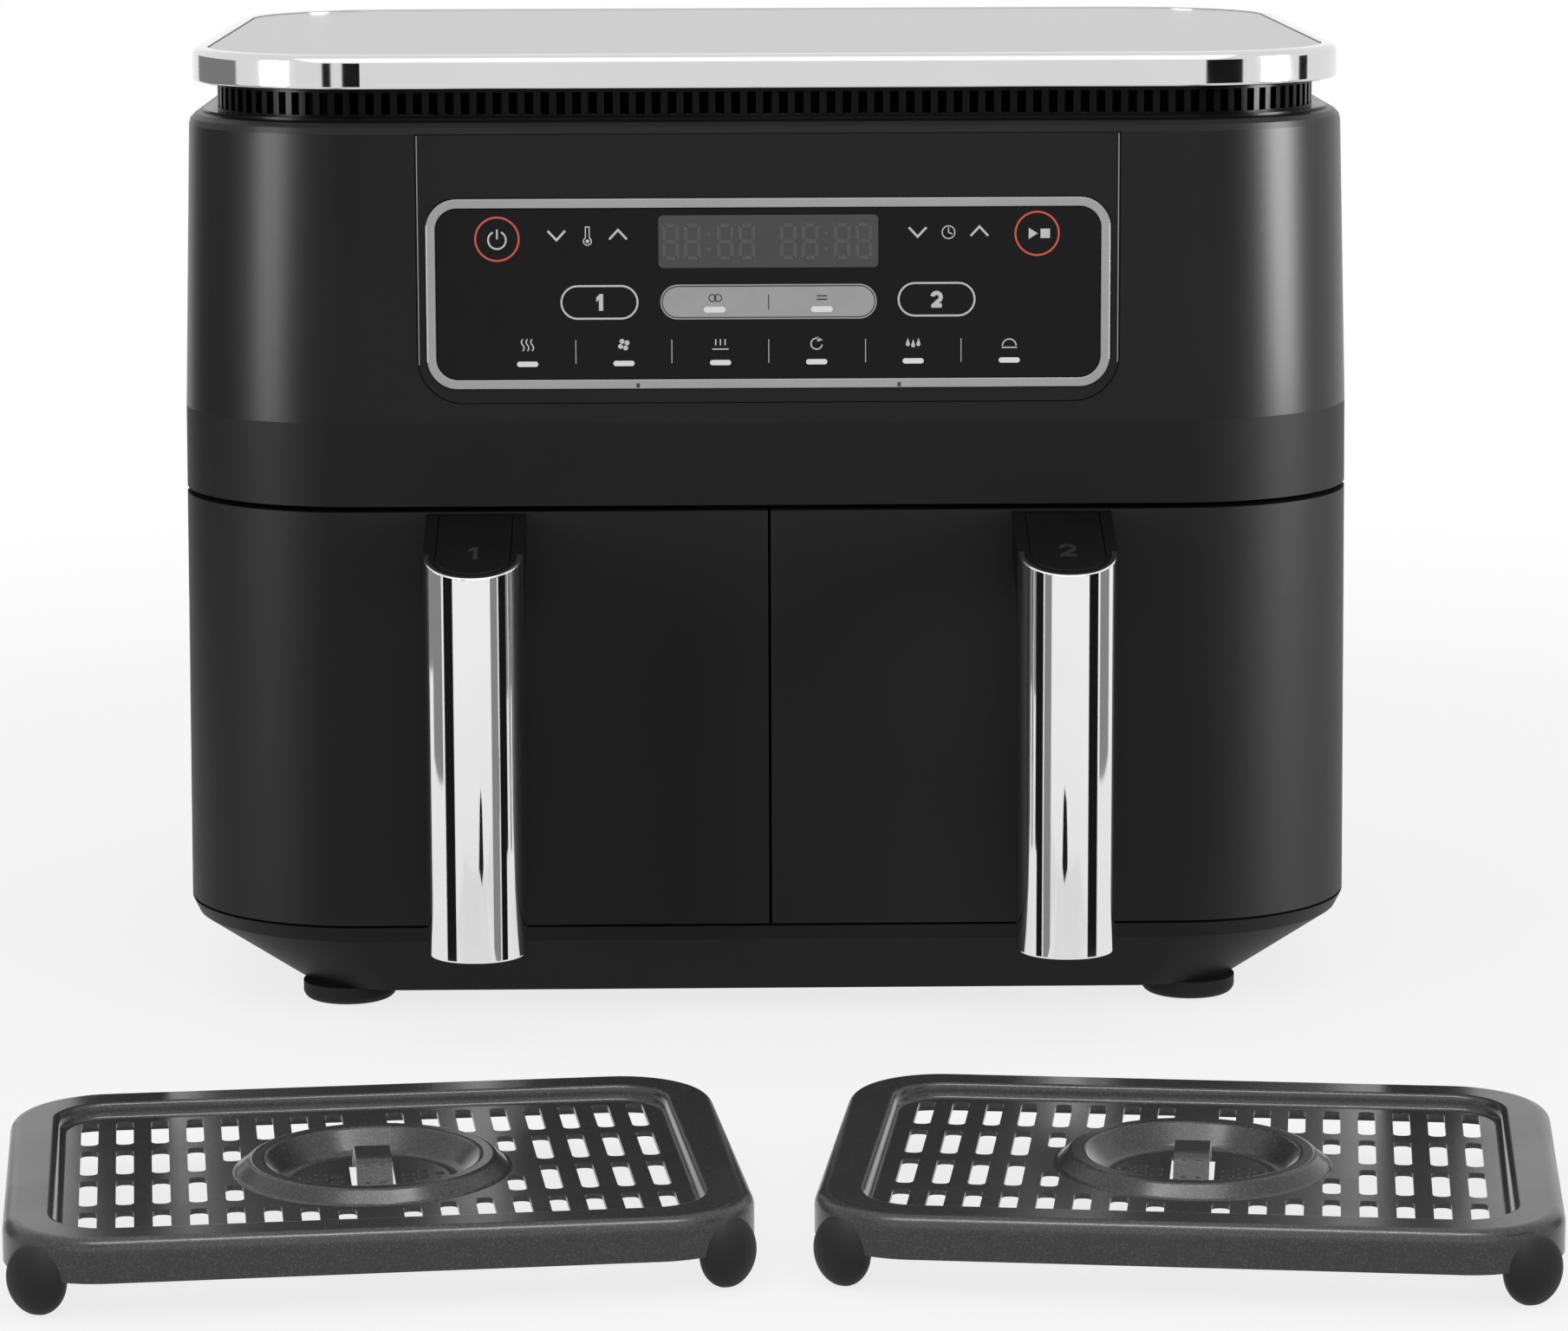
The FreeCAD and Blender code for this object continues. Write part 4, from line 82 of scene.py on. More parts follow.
def new_finish(name, roughness, metallic=0.0, **sockets):
    """A material with its usual gloss, its node tree and its shader."""
    material = bpy.data.materials.new(name)
    material.use_nodes = True
    shader = material.node_tree.nodes["Principled BSDF"]
    shader.inputs["Roughness"].default_value = roughness
    shader.inputs["Metallic"].default_value = metallic
    for label, value in sockets.items():
        shader.inputs[label.replace("_", " ").title().replace("Ior", "IOR")].default_value = value
    return material, material.node_tree, shader


def place_group(tree, group, **values):
    """A shared node group in a material, with the material's own values."""
    made = tree.nodes.new("ShaderNodeGroup")
    made.node_tree = group
    for label, value in values.items():
        made.inputs[label.replace("_", " ").title()].default_value = value
    return made.outputs


def vary_colour(tree, shader, mask, low, high):
    """Base colour between two linear colours by a mask."""
    mix = add_node(tree, "ShaderNodeMix", {"Factor": mask}, data_type="RGBA")
    mix.inputs["A"].default_value = (*low, 1)
    mix.inputs["B"].default_value = (*high, 1)
    tree.links.new(mix.outputs["Result"], shader.inputs["Base Color"])


def vary_gloss(tree, shader, mask, low, high):
    """Roughness between two values by a mask."""
    spread = add_node(tree, "ShaderNodeMapRange", {"Value": mask, "To Min": low, "To Max": high})
    tree.links.new(spread.outputs["Result"], shader.inputs["Roughness"])


def raise_surface(tree, shader, height, depth, strength):
    """Relief of a depth in metres."""
    bump = add_node(tree, "ShaderNodeBump", {"Height": height, "Distance": depth, "Strength": strength})
    tree.links.new(bump.outputs["Normal"], shader.inputs["Normal"])


def coat(material, *names):
    """Give CAD nodes a finish."""
    for name in names:
        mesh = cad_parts[name].data
        if mesh.materials:
            mesh.materials[0] = material
        else:
            mesh.materials.append(material)


grain, grain_in, grain_out = new_group("moulded_grain", {"Grain Size": 0.0004, "Cloud Size": 0.03},
                                       ("Height", "Cloud"))
grain.links.new(noise_at(grain, grain_in.outputs["Grain Size"], detail=3.0), grain_out.inputs["Height"])
grain.links.new(noise_at(grain, grain_in.outputs["Cloud Size"]), grain_out.inputs["Cloud"])

housing, tree, shader = new_finish("housing_black", 0.5, specular_ior_level=0.11)
marks = place_group(tree, grain, grain_size=0.00035, cloud_size=0.05)
vary_colour(tree, shader, marks["Cloud"], (0.0045, 0.0045, 0.0047), (0.0065, 0.0065, 0.0068))
vary_gloss(tree, shader, marks["Height"], 0.42, 0.56)
raise_surface(tree, shader, marks["Height"], 0.00005, 0.6)
coat(housing, "base_tray", "lower_housing", "front_frame", "lid_tray")

head, tree, shader = new_finish("head_black", 0.33, specular_ior_level=0.19)
marks = place_group(tree, grain, grain_size=0.00035, cloud_size=0.05)
vary_colour(tree, shader, marks["Cloud"], (0.0025, 0.0025, 0.0027), (0.0040, 0.0040, 0.0042))
vary_gloss(tree, shader, marks["Height"], 0.28, 0.37)
raise_surface(tree, shader, marks["Height"], 0.00003, 0.5)
coat(head, "upper_housing", "panel_insert")

# Rubber feet and the bush for the mains lead.
# Moulded black rubber, the feet pressed into the base tray and the bush snapped into the back wall.

rubber, tree, shader = new_finish("foot_rubber", 0.7, specular_ior_level=0.3)
marks = place_group(tree, grain, grain_size=0.0006, cloud_size=0.012)
vary_colour(tree, shader, marks["Cloud"], (0.010, 0.010, 0.010), (0.017, 0.017, 0.016))
vary_gloss(tree, shader, marks["Cloud"], 0.62, 0.8)
raise_surface(tree, shader, marks["Height"], 0.00004, 0.5)
coat(rubber, "rubber_feet", "cord_gland")

# Rear cover, its screws and the base screws.
# The louvred cover is moulded like the housing and held at its corners by zinc-plated pan-head screws.

cover, tree, shader = new_finish("rear_cover_black", 0.52, specular_ior_level=0.2)
marks = place_group(tree, grain, grain_size=0.0005, cloud_size=0.04)
vary_colour(tree, shader, marks["Cloud"], (0.0085, 0.0085, 0.0088), (0.0125, 0.0125, 0.0128))
vary_gloss(tree, shader, marks["Height"], 0.45, 0.6)
raise_surface(tree, shader, marks["Height"], 0.00006, 0.6)
coat(cover, "rear_cover")

zinc, tree, shader = new_finish("screw_zinc", 0.35, 1.0)
marks = place_group(tree, grain, grain_size=0.0003, cloud_size=0.003)
vary_colour(tree, shader, marks["Cloud"], (0.36, 0.36, 0.37), (0.5, 0.5, 0.5))
vary_gloss(tree, shader, marks["Height"], 0.25, 0.45)
coat(zinc, "rear_screws", "base_screws", "handle_screws_1", "handle_screws_2")

# Cooking cavities: liners, drawer rails, heaters, temperature probes and drawer switches.
# Pressed steel sheet with rolling lines, a heat-tinted tube heater, drawn probes and moulded switches.

lines, lines_in, lines_out = new_group("brushed_lines", {"Line Width": 0.0002, "Line Length": 0.02},
                                       ("Line", "Cloud"))
ratio = calculate(lines, "DIVIDE", lines_in.outputs["Line Width"], lines_in.outputs["Line Length"])
stretch = add_node(lines, "ShaderNodeCombineXYZ", {"X": ratio, "Y": 1.0, "Z": 1.0}).outputs[0]
lines.links.new(noise_at(lines, lines_in.outputs["Line Width"], stretch), lines_out.inputs["Line"])
lines.links.new(noise_at(lines, lines_in.outputs["Line Length"]), lines_out.inputs["Cloud"])

sheet, tree, shader = new_finish("liner_steel", 0.38, 1.0)
marks = place_group(tree, lines, line_width=0.0005, line_length=0.03)
vary_colour(tree, shader, marks["Cloud"], (0.38, 0.38, 0.39), (0.5, 0.49, 0.47))
vary_gloss(tree, shader, marks["Line"], 0.28, 0.48)
raise_surface(tree, shader, marks["Line"], 0.00003, 0.4)
coat(sheet, "cavity_liner_1", "cavity_liner_2", "drawer_rails_1", "drawer_rails_2")

tube, tree, shader = new_finish("heater_tube", 0.45, 1.0)
marks = place_group(tree, grain, grain_size=0.0007, cloud_size=0.02)
vary_colour(tree, shader, marks["Cloud"], (0.16, 0.15, 0.145), (0.3, 0.26, 0.22))
vary_gloss(tree, shader, marks["Height"], 0.36, 0.58)
coat(tube, "heating_element_1", "heating_element_2")

drawn, tree, shader = new_finish("probe_steel", 0.25, 1.0)
marks = place_group(tree, lines, line_width=0.0002, line_length=0.004)
vary_colour(tree, shader, marks["Cloud"], (0.46, 0.46, 0.47), (0.58, 0.58, 0.58))
vary_gloss(tree, shader, marks["Line"], 0.18, 0.34)
coat(drawn, "temperature_probe_1", "temperature_probe_2")

switch, tree, shader = new_finish("switch_plastic", 0.5)
marks = place_group(tree, grain, grain_size=0.0004, cloud_size=0.008)
vary_colour(tree, shader, marks["Cloud"], (0.035, 0.035, 0.038), (0.06, 0.06, 0.063))
vary_gloss(tree, shader, marks["Height"], 0.42, 0.6)
coat(switch, "drawer_switch_1", "drawer_switch_2")

# Deck, fan motors, fans, shafts and circuit boards inside the control head.
# Zinc-plated deck, grey enamelled motor cases and pressed aluminium fans on ground shafts.
# The boards are green glass fibre.

deck, tree, shader = new_finish("deck_steel", 0.4, 1.0)
marks = place_group(tree, lines, line_width=0.0006, line_length=0.02)
vary_colour(tree, shader, marks["Cloud"], (0.42, 0.43, 0.44), (0.56, 0.56, 0.55))
vary_gloss(tree, shader, marks["Cloud"], 0.3, 0.5)
coat(deck, "motor_deck")

enamel, tree, shader = new_finish("motor_enamel", 0.4)
marks = place_group(tree, grain, grain_size=0.0008, cloud_size=0.015)
vary_colour(tree, shader, marks["Cloud"], (0.16, 0.16, 0.17), (0.22, 0.22, 0.23))
vary_gloss(tree, shader, marks["Height"], 0.32, 0.5)
coat(enamel, "fan_motor_1", "fan_motor_2")

pressed, tree, shader = new_finish("fan_aluminium", 0.35, 1.0)
marks = place_group(tree, lines, line_width=0.0004, line_length=0.012)
vary_colour(tree, shader, marks["Cloud"], (0.52, 0.53, 0.54), (0.66, 0.66, 0.66))
vary_gloss(tree, shader, marks["Line"], 0.26, 0.44)
coat(pressed, "hot_air_fan_1", "hot_air_fan_2", "cooling_fan_1", "cooling_fan_2")

ground, tree, shader = new_finish("shaft_steel", 0.2, 1.0)
marks = place_group(tree, lines, line_width=0.00015, line_length=0.003)
vary_colour(tree, shader, marks["Cloud"], (0.5, 0.5, 0.51), (0.6, 0.6, 0.6))
vary_gloss(tree, shader, marks["Line"], 0.14, 0.26)
coat(ground, "fan_shaft_1", "fan_shaft_2")

board, tree, shader = new_finish("board_green", 0.4)
marks = place_group(tree, lines, line_width=0.0012, line_length=0.014)
vary_colour(tree, shader, marks["Line"], (0.012, 0.09, 0.035), (0.035, 0.16, 0.07))
vary_gloss(tree, shader, marks["Cloud"], 0.3, 0.48)
coat(board, "control_board", "power_board")

# Control panel: satin silver bezel round a glossy black touch panel.
# The bezel is a painted moulding clipped into the insert; the touch panel is bonded behind its edge.

silver, tree, shader = new_finish("bezel_silver", 0.32, 0.85)
marks = place_group(tree, grain, grain_size=0.0003, cloud_size=0.02)
vary_colour(tree, shader, marks["Cloud"], (0.325, 0.325, 0.33), (0.385, 0.385, 0.39))
vary_gloss(tree, shader, marks["Height"], 0.28, 0.4)
raise_surface(tree, shader, marks["Height"], 0.00002, 0.3)
coat(silver, "control_bezel")

glass, tree, shader = new_finish("panel_black", 0.3, specular_ior_level=0.12)
marks = place_group(tree, grain, grain_size=0.0008, cloud_size=0.03)
vary_colour(tree, shader, marks["Cloud"], (0.0056, 0.0056, 0.0058), (0.0076, 0.0076, 0.0078))
vary_gloss(tree, shader, marks["Cloud"], 0.24, 0.34)
coat(glass, "touch_panel")

# Display window: smoked pane with eight unlit number places and two colons behind it.
# Tinted acrylic set flush in the touch panel; each number place is made of seven short bars.

MM = 0.001
PRINT_DEPTH = 0.06


def add_prism(shape, outline, face, inner=None, rise=PRINT_DEPTH):
    """Raise a flat mark of a given outline, with an optional hole, from a face that looks to the front."""
    rings = []
    for depth in (face - rise, face + PRINT_DEPTH / 2):
        for loop in (outline, inner) if inner else (outline,):
            rings.append([shape.verts.new((x * MM, depth * MM, z * MM)) for x, z in loop])
    if not inner:
        near, far = rings
        shape.faces.new(near)
        shape.faces.new(reversed(far))
        walls = [(near, far)]
    else:
        near, near_hole, far, far_hole = rings
        walls = [(near, far), (near_hole, far_hole), (near, near_hole), (far, far_hole)]
    for one, other in walls:
        for step in range(len(one)):
            after = (step + 1) % len(one)
            shape.faces.new((one[step], one[after], other[after], other[step]))


def settle(name, shape, material, body, place=None):
    """Turn a finished bmesh, moved to its place if it has one, into a piece that rides on a body."""
    bmesh.ops.recalc_face_normals(shape, faces=shape.faces)
    mesh = bpy.data.meshes.new(name)
    shape.to_mesh(mesh)
    if place:
        mesh.transform(place)
    shape.free()
    mesh.materials.append(material)
    piece = bpy.data.objects.new(name, mesh)
    bpy.context.scene.collection.objects.link(piece)
    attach(piece, body)


def front_of(node):
    """The front face of a node, in millimetres."""
    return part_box(node)[0].y / MM


def number_bar(x, z, length, width, upright):
    """Outline of one bar of a number place, pointed at both ends."""
    half, thick = length / 2, width / 2
    ends = [(-half, 0), (thick - half, thick), (half - thick, thick), (half, 0), (half - thick, -thick),
            (thick - half, -thick)]
    return [(x + (v if upright else u), z + (u if upright else v)) for u, v in ends]


def numeral_bars(x, z, width, height, thickness):
    """The seven bars of a number place."""
    long_bar = height / 2 - thickness * 0.55
    for level in (-1, 0, 1):
        yield number_bar(x, z + level * (height - thickness) / 2, width - thickness, thickness, False)
    for side in (-1, 1):
        across = x + side * (width - thickness) / 2
        for level in (-1, 1):
            yield number_bar(across, z + level * height / 4, long_bar, thickness, True)


def circle(x, z, radius, count=48):
    """Outline of a round."""
    turns = [math.tau * step / count for step in range(count)]
    return [(x + radius * math.cos(turn), z + radius * math.sin(turn)) for turn in turns]


smoke, tree, shader = new_finish("display_grey", 0.3, specular_ior_level=0.25)
marks = place_group(tree, grain, grain_size=0.0009, cloud_size=0.02)
vary_colour(tree, shader, marks["Cloud"], (0.063, 0.063, 0.064), (0.078, 0.078, 0.079))
vary_gloss(tree, shader, marks["Height"], 0.26, 0.36)
coat(smoke, "display_window")

unlit, tree, shader = new_finish("unlit_bar", 0.4, specular_ior_level=0.25)
marks = place_group(tree, grain, grain_size=0.0006, cloud_size=0.004)
vary_colour(tree, shader, marks["Cloud"], (0.088, 0.088, 0.089), (0.106, 0.106, 0.107))
vary_gloss(tree, shader, marks["Height"], 0.34, 0.46)

NUMBER_PLACES = (-31.3, -24.3, -13.8, -6.9, 6.4, 13.4, 23.7, 30.6)
NUMBER_LEVEL = 255.4
NUMBER_WIDTH, NUMBER_HEIGHT, NUMBER_LINE = 5.4, 11.6, 1.2
COLON_PLACES, COLON_LEVELS, COLON_RADIUS = (-19.1, 18.5), (252.9, 257.9), 0.7
numbers = bmesh.new()
window = front_of("display_window")
for x in NUMBER_PLACES:
    for bar in numeral_bars(x, NUMBER_LEVEL, NUMBER_WIDTH, NUMBER_HEIGHT, NUMBER_LINE):
        add_prism(numbers, bar, window)
for x in COLON_PLACES:
    for z in COLON_LEVELS:
        add_prism(numbers, circle(x, z, COLON_RADIUS, 16), window)
settle("display_numbers", numbers, unlit, "fryer")

# Mode key: satin grey pill with two light bars, a divider and two plain signs.
# A painted insert bonded into the touch panel, its marks screen-printed and its light bars translucent.


def pill(x, z, width, height, count=12):
    """Outline of a bar with round ends."""
    radius = height / 2
    turns = [math.pi * step / count - math.pi / 2 for step in range(count + 1)]
    right = [(x + width / 2 - radius + radius * math.cos(t), z + radius * math.sin(t)) for t in turns]
    return right + [(2 * x - u, 2 * z - v) for u, v in right]


def shifted(points, distance):
    """A line of points moved sideways, with mitred corners."""
    points = [Vector(point) for point in points]
    runs = [(after - before).normalized() for before, after in zip(points, points[1:])]
    sides = [Vector((-run.y, run.x)) for run in runs]
    moved = []
    for step, point in enumerate(points):
        before, after = sides[max(step - 1, 0)], sides[min(step, len(sides) - 1)]
        moved.append(point + (before + after) * (distance / (1 + before.dot(after))))
    return [tuple(point) for point in moved]


def stroke(points, width):
    """Outline of a drawn line of even width."""
    return shifted(points, width / 2) + shifted(points, -width / 2)[::-1]


def arc(x, z, radius, start, end, count=24):
    """Points along an arc, its angles in degrees."""
    turns = [math.radians(start + (end - start) * step / count) for step in range(count + 1)]
    return [(x + radius * math.cos(turn), z + radius * math.sin(turn)) for turn in turns]


key_paint, tree, shader = new_finish("key_grey", 0.38, 0.35)
marks = place_group(tree, grain, grain_size=0.0003, cloud_size=0.01)
vary_colour(tree, shader, marks["Cloud"], (0.322, 0.322, 0.327), (0.386, 0.386, 0.391))
vary_gloss(tree, shader, marks["Height"], 0.32, 0.45)
coat(key_paint, "mode_key_plate")

dark_ink, tree, shader = new_finish("dark_ink", 0.5)
marks = place_group(tree, grain, grain_size=0.0004, cloud_size=0.005)
vary_colour(tree, shader, marks["Cloud"], (0.028, 0.028, 0.03), (0.04, 0.04, 0.042))
vary_gloss(tree, shader, marks["Height"], 0.45, 0.58)

light_bar, tree, shader = new_finish("light_bar", 0.35)
marks = place_group(tree, grain, grain_size=0.0005, cloud_size=0.004)
vary_colour(tree, shader, marks["Cloud"], (0.78, 0.78, 0.77), (0.86, 0.86, 0.85))
vary_gloss(tree, shader, marks["Height"], 0.3, 0.42)

KEY_LEVEL, KEY_LENGTH, KEY_HEIGHT = 236.05, 68.6, 10.4
FINE_LINE = 0.35
KEY_DIVIDER_FOOT, KEY_DIVIDER_TOP, KEY_DIVIDER_LINE = 233.5, 238.4, 0.32
KEY_SIGN_PLACE, KEY_SIGN_LEVEL = 17.1, 237.3
RING_RADIUS, RING_SPREAD = 1.3, 0.9
DASH_LENGTH, DASH_HEIGHT, DASH_SPREAD = 3.4, 0.45, 0.55
KEY_LAMP_PLACES, KEY_LAMP_LEVEL = (-17.3, 17.1), 233.55
KEY_LAMP_LENGTH, KEY_LAMP_HEIGHT = 7.0, 1.9
key_face = front_of("mode_key_plate")
key_marks = bmesh.new()
key_rim = pill(0, KEY_LEVEL, KEY_LENGTH - 2 * FINE_LINE, KEY_HEIGHT - 2 * FINE_LINE)
add_prism(key_marks, pill(0, KEY_LEVEL, KEY_LENGTH, KEY_HEIGHT), key_face, key_rim)
add_prism(key_marks, stroke([(0, KEY_DIVIDER_FOOT), (0, KEY_DIVIDER_TOP)], KEY_DIVIDER_LINE), key_face)
for side in (-1, 1):
    x = -KEY_SIGN_PLACE - RING_SPREAD * side
    hole = circle(x, KEY_SIGN_LEVEL, RING_RADIUS - FINE_LINE)
    add_prism(key_marks, circle(x, KEY_SIGN_LEVEL, RING_RADIUS), key_face, hole)
    dash = pill(KEY_SIGN_PLACE, KEY_SIGN_LEVEL + DASH_SPREAD * side, DASH_LENGTH, DASH_HEIGHT)
    add_prism(key_marks, dash, key_face)
settle("key_marks", key_marks, dark_ink, "fryer")
key_lamps = bmesh.new()
for x in KEY_LAMP_PLACES:
    add_prism(key_lamps, pill(x, KEY_LAMP_LEVEL, KEY_LAMP_LENGTH, KEY_LAMP_HEIGHT), key_face)
settle("key_light_bars", key_lamps, light_bar, "fryer")

# Touch panel print: zone keys with their numbers, arrows, time and heat signs, program signs and light bars.
# Screen-printed in light grey, with the two main keys ringed in red and the light bars left translucent.


def numeral(text, x, z, height, line):
    """Outline of a plain 1 or 2 about a point, drawn with an even line."""
    half, thick = height / 2, line / 2
    if text == "1":
        flag = height * 0.28
        outline = [(thick, -half), (thick, half), (-thick * 0.6, half), (-flag, half - flag * 0.75),
                   (-flag, half - flag * 0.75 - line * 1.1), (-thick, half - line * 1.3), (-thick, -half)]
        return [(x + u + flag / 3, z + v) for u, v in outline]
    bend, reach, end = height * 0.25, height * 0.31, -38
    top = half - bend - thick
    start = Vector(arc(0, top, bend, end, end)[0])
    run = (Vector((-reach + thick, thick - half)) - start).normalized()
    side = Vector((-run.y, run.x)) * thick
    low, high = start + side, start - side
    low_end = low + run * ((line - half - low.y) / run.y)
    high_end = high + run * ((-reach - high.x) / run.x)
    outer = arc(0, top, bend + thick, 168, end)
    foot = [tuple(low_end), (reach, line - half), (reach, -half), (-reach, -half), tuple(high_end)]
    inner = arc(0, top, bend - thick, end, 168)
    return [(x + u, z + v) for u, v in outer + foot + inner]


pale_ink, tree, shader = new_finish("pale_ink", 0.45)
marks = place_group(tree, grain, grain_size=0.0004, cloud_size=0.006)
vary_colour(tree, shader, marks["Cloud"], (0.54, 0.54, 0.54), (0.63, 0.63, 0.63))
vary_gloss(tree, shader, marks["Height"], 0.4, 0.52)

red_ink, tree, shader = new_finish("red_ink", 0.45)
marks = place_group(tree, grain, grain_size=0.0004, cloud_size=0.006)
vary_colour(tree, shader, marks["Cloud"], (0.62, 0.07, 0.04), (0.72, 0.10, 0.06))
vary_gloss(tree, shader, marks["Height"], 0.4, 0.52)

POWER_KEY, START_KEY, MAIN_KEY_RADIUS = (-86.8, 256.5), (86.1, 257.6), 7.25
RING_LINE = 0.6
face = front_of("touch_panel")
rings = bmesh.new()
for x, z in (POWER_KEY, START_KEY):
    hole = circle(x, z, MAIN_KEY_RADIUS - RING_LINE, 64)
    add_prism(rings, circle(x, z, MAIN_KEY_RADIUS, 64), face, hole)
settle("main_key_rings", rings, red_ink, "fryer")

MAIN_LINE, ARROW_LINE, SIGN_LINE, DIVIDER_LINE = 0.55, 0.7, 0.4, 0.22
ARROWS = ((-67.8, 257.7, -1), (-48.1, 257.7, 1), (47.8, 258.3, -1), (67.6, 258.3, 1))
ARROW_REACH, ARROW_FOOT, ARROW_TIP = 2.8, 1.4, 1.6
HEAT_SIGN, TIME_SIGN, TIME_RADIUS = (-57.9, 255.7), (57.7, 258.1), 2.2
ZONE_KEYS = {"1": (-54.2, 236.05), "2": (53.9, 236.55)}
ZONE_KEY_LENGTH, ZONE_KEY_HEIGHT = 25.0, 11.1
DIVIDER_PLACES = (-61.9, -31.1, 0, 31.1, 61.8)
DIVIDER_FOOT, DIVIDER_TOP = 216.3, 223.9
print_marks = bmesh.new()
x, z = POWER_KEY
add_prism(print_marks, stroke(arc(x, z - 0.3, 2.85, 118, 422), MAIN_LINE), face)
add_prism(print_marks, stroke([(x, z), (x, z + 3.1)], MAIN_LINE), face)
x, z = START_KEY
add_prism(print_marks, [(x - 2.7, z + 1.8), (x - 2.7, z - 1.8), (x + 0.2, z)], face)
add_prism(print_marks, [(x + 1.1, z + 1.5), (x + 1.1, z - 1.5), (x + 4.1, z - 1.5), (x + 4.1, z + 1.5)], face)
for x, z, way in ARROWS:
    foot, tip = z - ARROW_FOOT * way, z + ARROW_TIP * way
    bend = [(x - ARROW_REACH, foot), (x, tip), (x + ARROW_REACH, foot)]
    add_prism(print_marks, stroke(bend, ARROW_LINE), face)
x, z = HEAT_SIGN
bulb_and_stem = arc(x, z, 1.25, 120, 420) + [(x + 0.6, z + 4.6), (x - 0.6, z + 4.6), (x - 0.625, z + 1.1)]
add_prism(print_marks, stroke(bulb_and_stem, FINE_LINE), face)
add_prism(print_marks, circle(x, z, 0.6, 20), face)
x, z = TIME_SIGN
add_prism(print_marks, circle(x, z, TIME_RADIUS), face, circle(x, z, TIME_RADIUS - FINE_LINE))
add_prism(print_marks, stroke([(x, z + 1.5), (x, z), (x + 1.2, z - 0.6)], FINE_LINE), face)
for x, z in ZONE_KEYS.values():
    hole = pill(x, z, ZONE_KEY_LENGTH - 2 * RING_LINE, ZONE_KEY_HEIGHT - 2 * RING_LINE, 20)
    add_prism(print_marks, pill(x, z, ZONE_KEY_LENGTH, ZONE_KEY_HEIGHT, 20), face, hole)
for x in DIVIDER_PLACES:
    add_prism(print_marks, stroke([(x, DIVIDER_FOOT), (x, DIVIDER_TOP)], DIVIDER_LINE), face)
PROGRAM_PLACES = (-77.4, -46.5, -15.5, 15.4, 46.4, 77.3)
PROGRAM_LEVEL = 222.4
first, second, third, fourth, fifth, sixth = PROGRAM_PLACES
for side in (-1, 0, 1):
    wave = [(first + 1.5 * side + 0.45 * math.sin(step * math.pi / 4), PROGRAM_LEVEL - 1.9 + 0.475 * step)
            for step in range(9)]
    add_prism(print_marks, stroke(wave, SIGN_LINE), face)
    x = third + 1.5 * side
    add_prism(print_marks, stroke([(x, PROGRAM_LEVEL - 0.4), (x, PROGRAM_LEVEL + 1.6)], SIGN_LINE), face)
    x, lift = fifth + 1.7 * side, 0.4 * abs(side)
    drop = arc(x, PROGRAM_LEVEL - 0.7 + lift, 0.65, -210, 30, 16) + [(x, PROGRAM_LEVEL + 1.3 + lift)]
    add_prism(print_marks, drop, face)
for quarter in range(4):
    turn = math.tau * quarter / 4 + 0.5
    x, z = second + 1.2 * math.cos(turn), PROGRAM_LEVEL + 1.2 * math.sin(turn)
    add_prism(print_marks, circle(x, z, 0.8, 20), face)
shelf = PROGRAM_LEVEL - 1.6
add_prism(print_marks, stroke([(third - 2.6, shelf), (third + 2.6, shelf)], SIGN_LINE), face)
add_prism(print_marks, stroke(arc(fourth, PROGRAM_LEVEL, 1.8, 60, 350), SIGN_LINE), face)
add_prism(print_marks, [(fourth + 0.2, PROGRAM_LEVEL + 2.3), (fourth + 0.2, PROGRAM_LEVEL + 0.7),
                        (fourth + 1.9, PROGRAM_LEVEL + 1.2)], face)
add_prism(print_marks, pill(sixth, PROGRAM_LEVEL - 1.5, 5.0, SIGN_LINE), face)
add_prism(print_marks, stroke(arc(sixth, PROGRAM_LEVEL - 1.0, 2.2, 0, 180), SIGN_LINE), face)
settle("panel_print", print_marks, pale_ink, "fryer")

PROGRAM_LAMP_LEVEL, PROGRAM_LAMP_TILT = 216.5, 0.004
PROGRAM_LAMP_LENGTH, PROGRAM_LAMP_HEIGHT = 6.8, 1.7
ZONE_NUMBER_HEIGHT, ZONE_NUMBER_LINE = 5.4, 1.35
program_lamps = bmesh.new()
for x in PROGRAM_PLACES:
    z = PROGRAM_LAMP_LEVEL + PROGRAM_LAMP_TILT * x
    add_prism(program_lamps, pill(x, z, PROGRAM_LAMP_LENGTH, PROGRAM_LAMP_HEIGHT), face)
settle("program_light_bars", program_lamps, light_bar, "fryer")
for zone, (x, z) in ZONE_KEYS.items():
    number = bmesh.new()
    add_prism(number, numeral(zone, x, z, ZONE_NUMBER_HEIGHT, ZONE_NUMBER_LINE), face)
    settle(f"zone_number_{zone}", number, pale_ink, "fryer")

# Edge lines: painted highlights along the upright sides of the bezel and of the insert that carries it.
# Thin strips stand in for the glint on fine bevelled edges: the bezel's are polished bright, the insert's
# satin.
# The bezel's foot has two small notch marks in dark ink, painted shade in place of the notch hollows.

polish, tree, shader = new_finish("bright_trim", 0.07, 1.0)
marks = place_group(tree, grain, grain_size=0.004, cloud_size=0.03)
vary_colour(tree, shader, marks["Cloud"], (0.64, 0.64, 0.645), (0.70, 0.70, 0.705))
vary_gloss(tree, shader, marks["Height"], 0.04, 0.1)

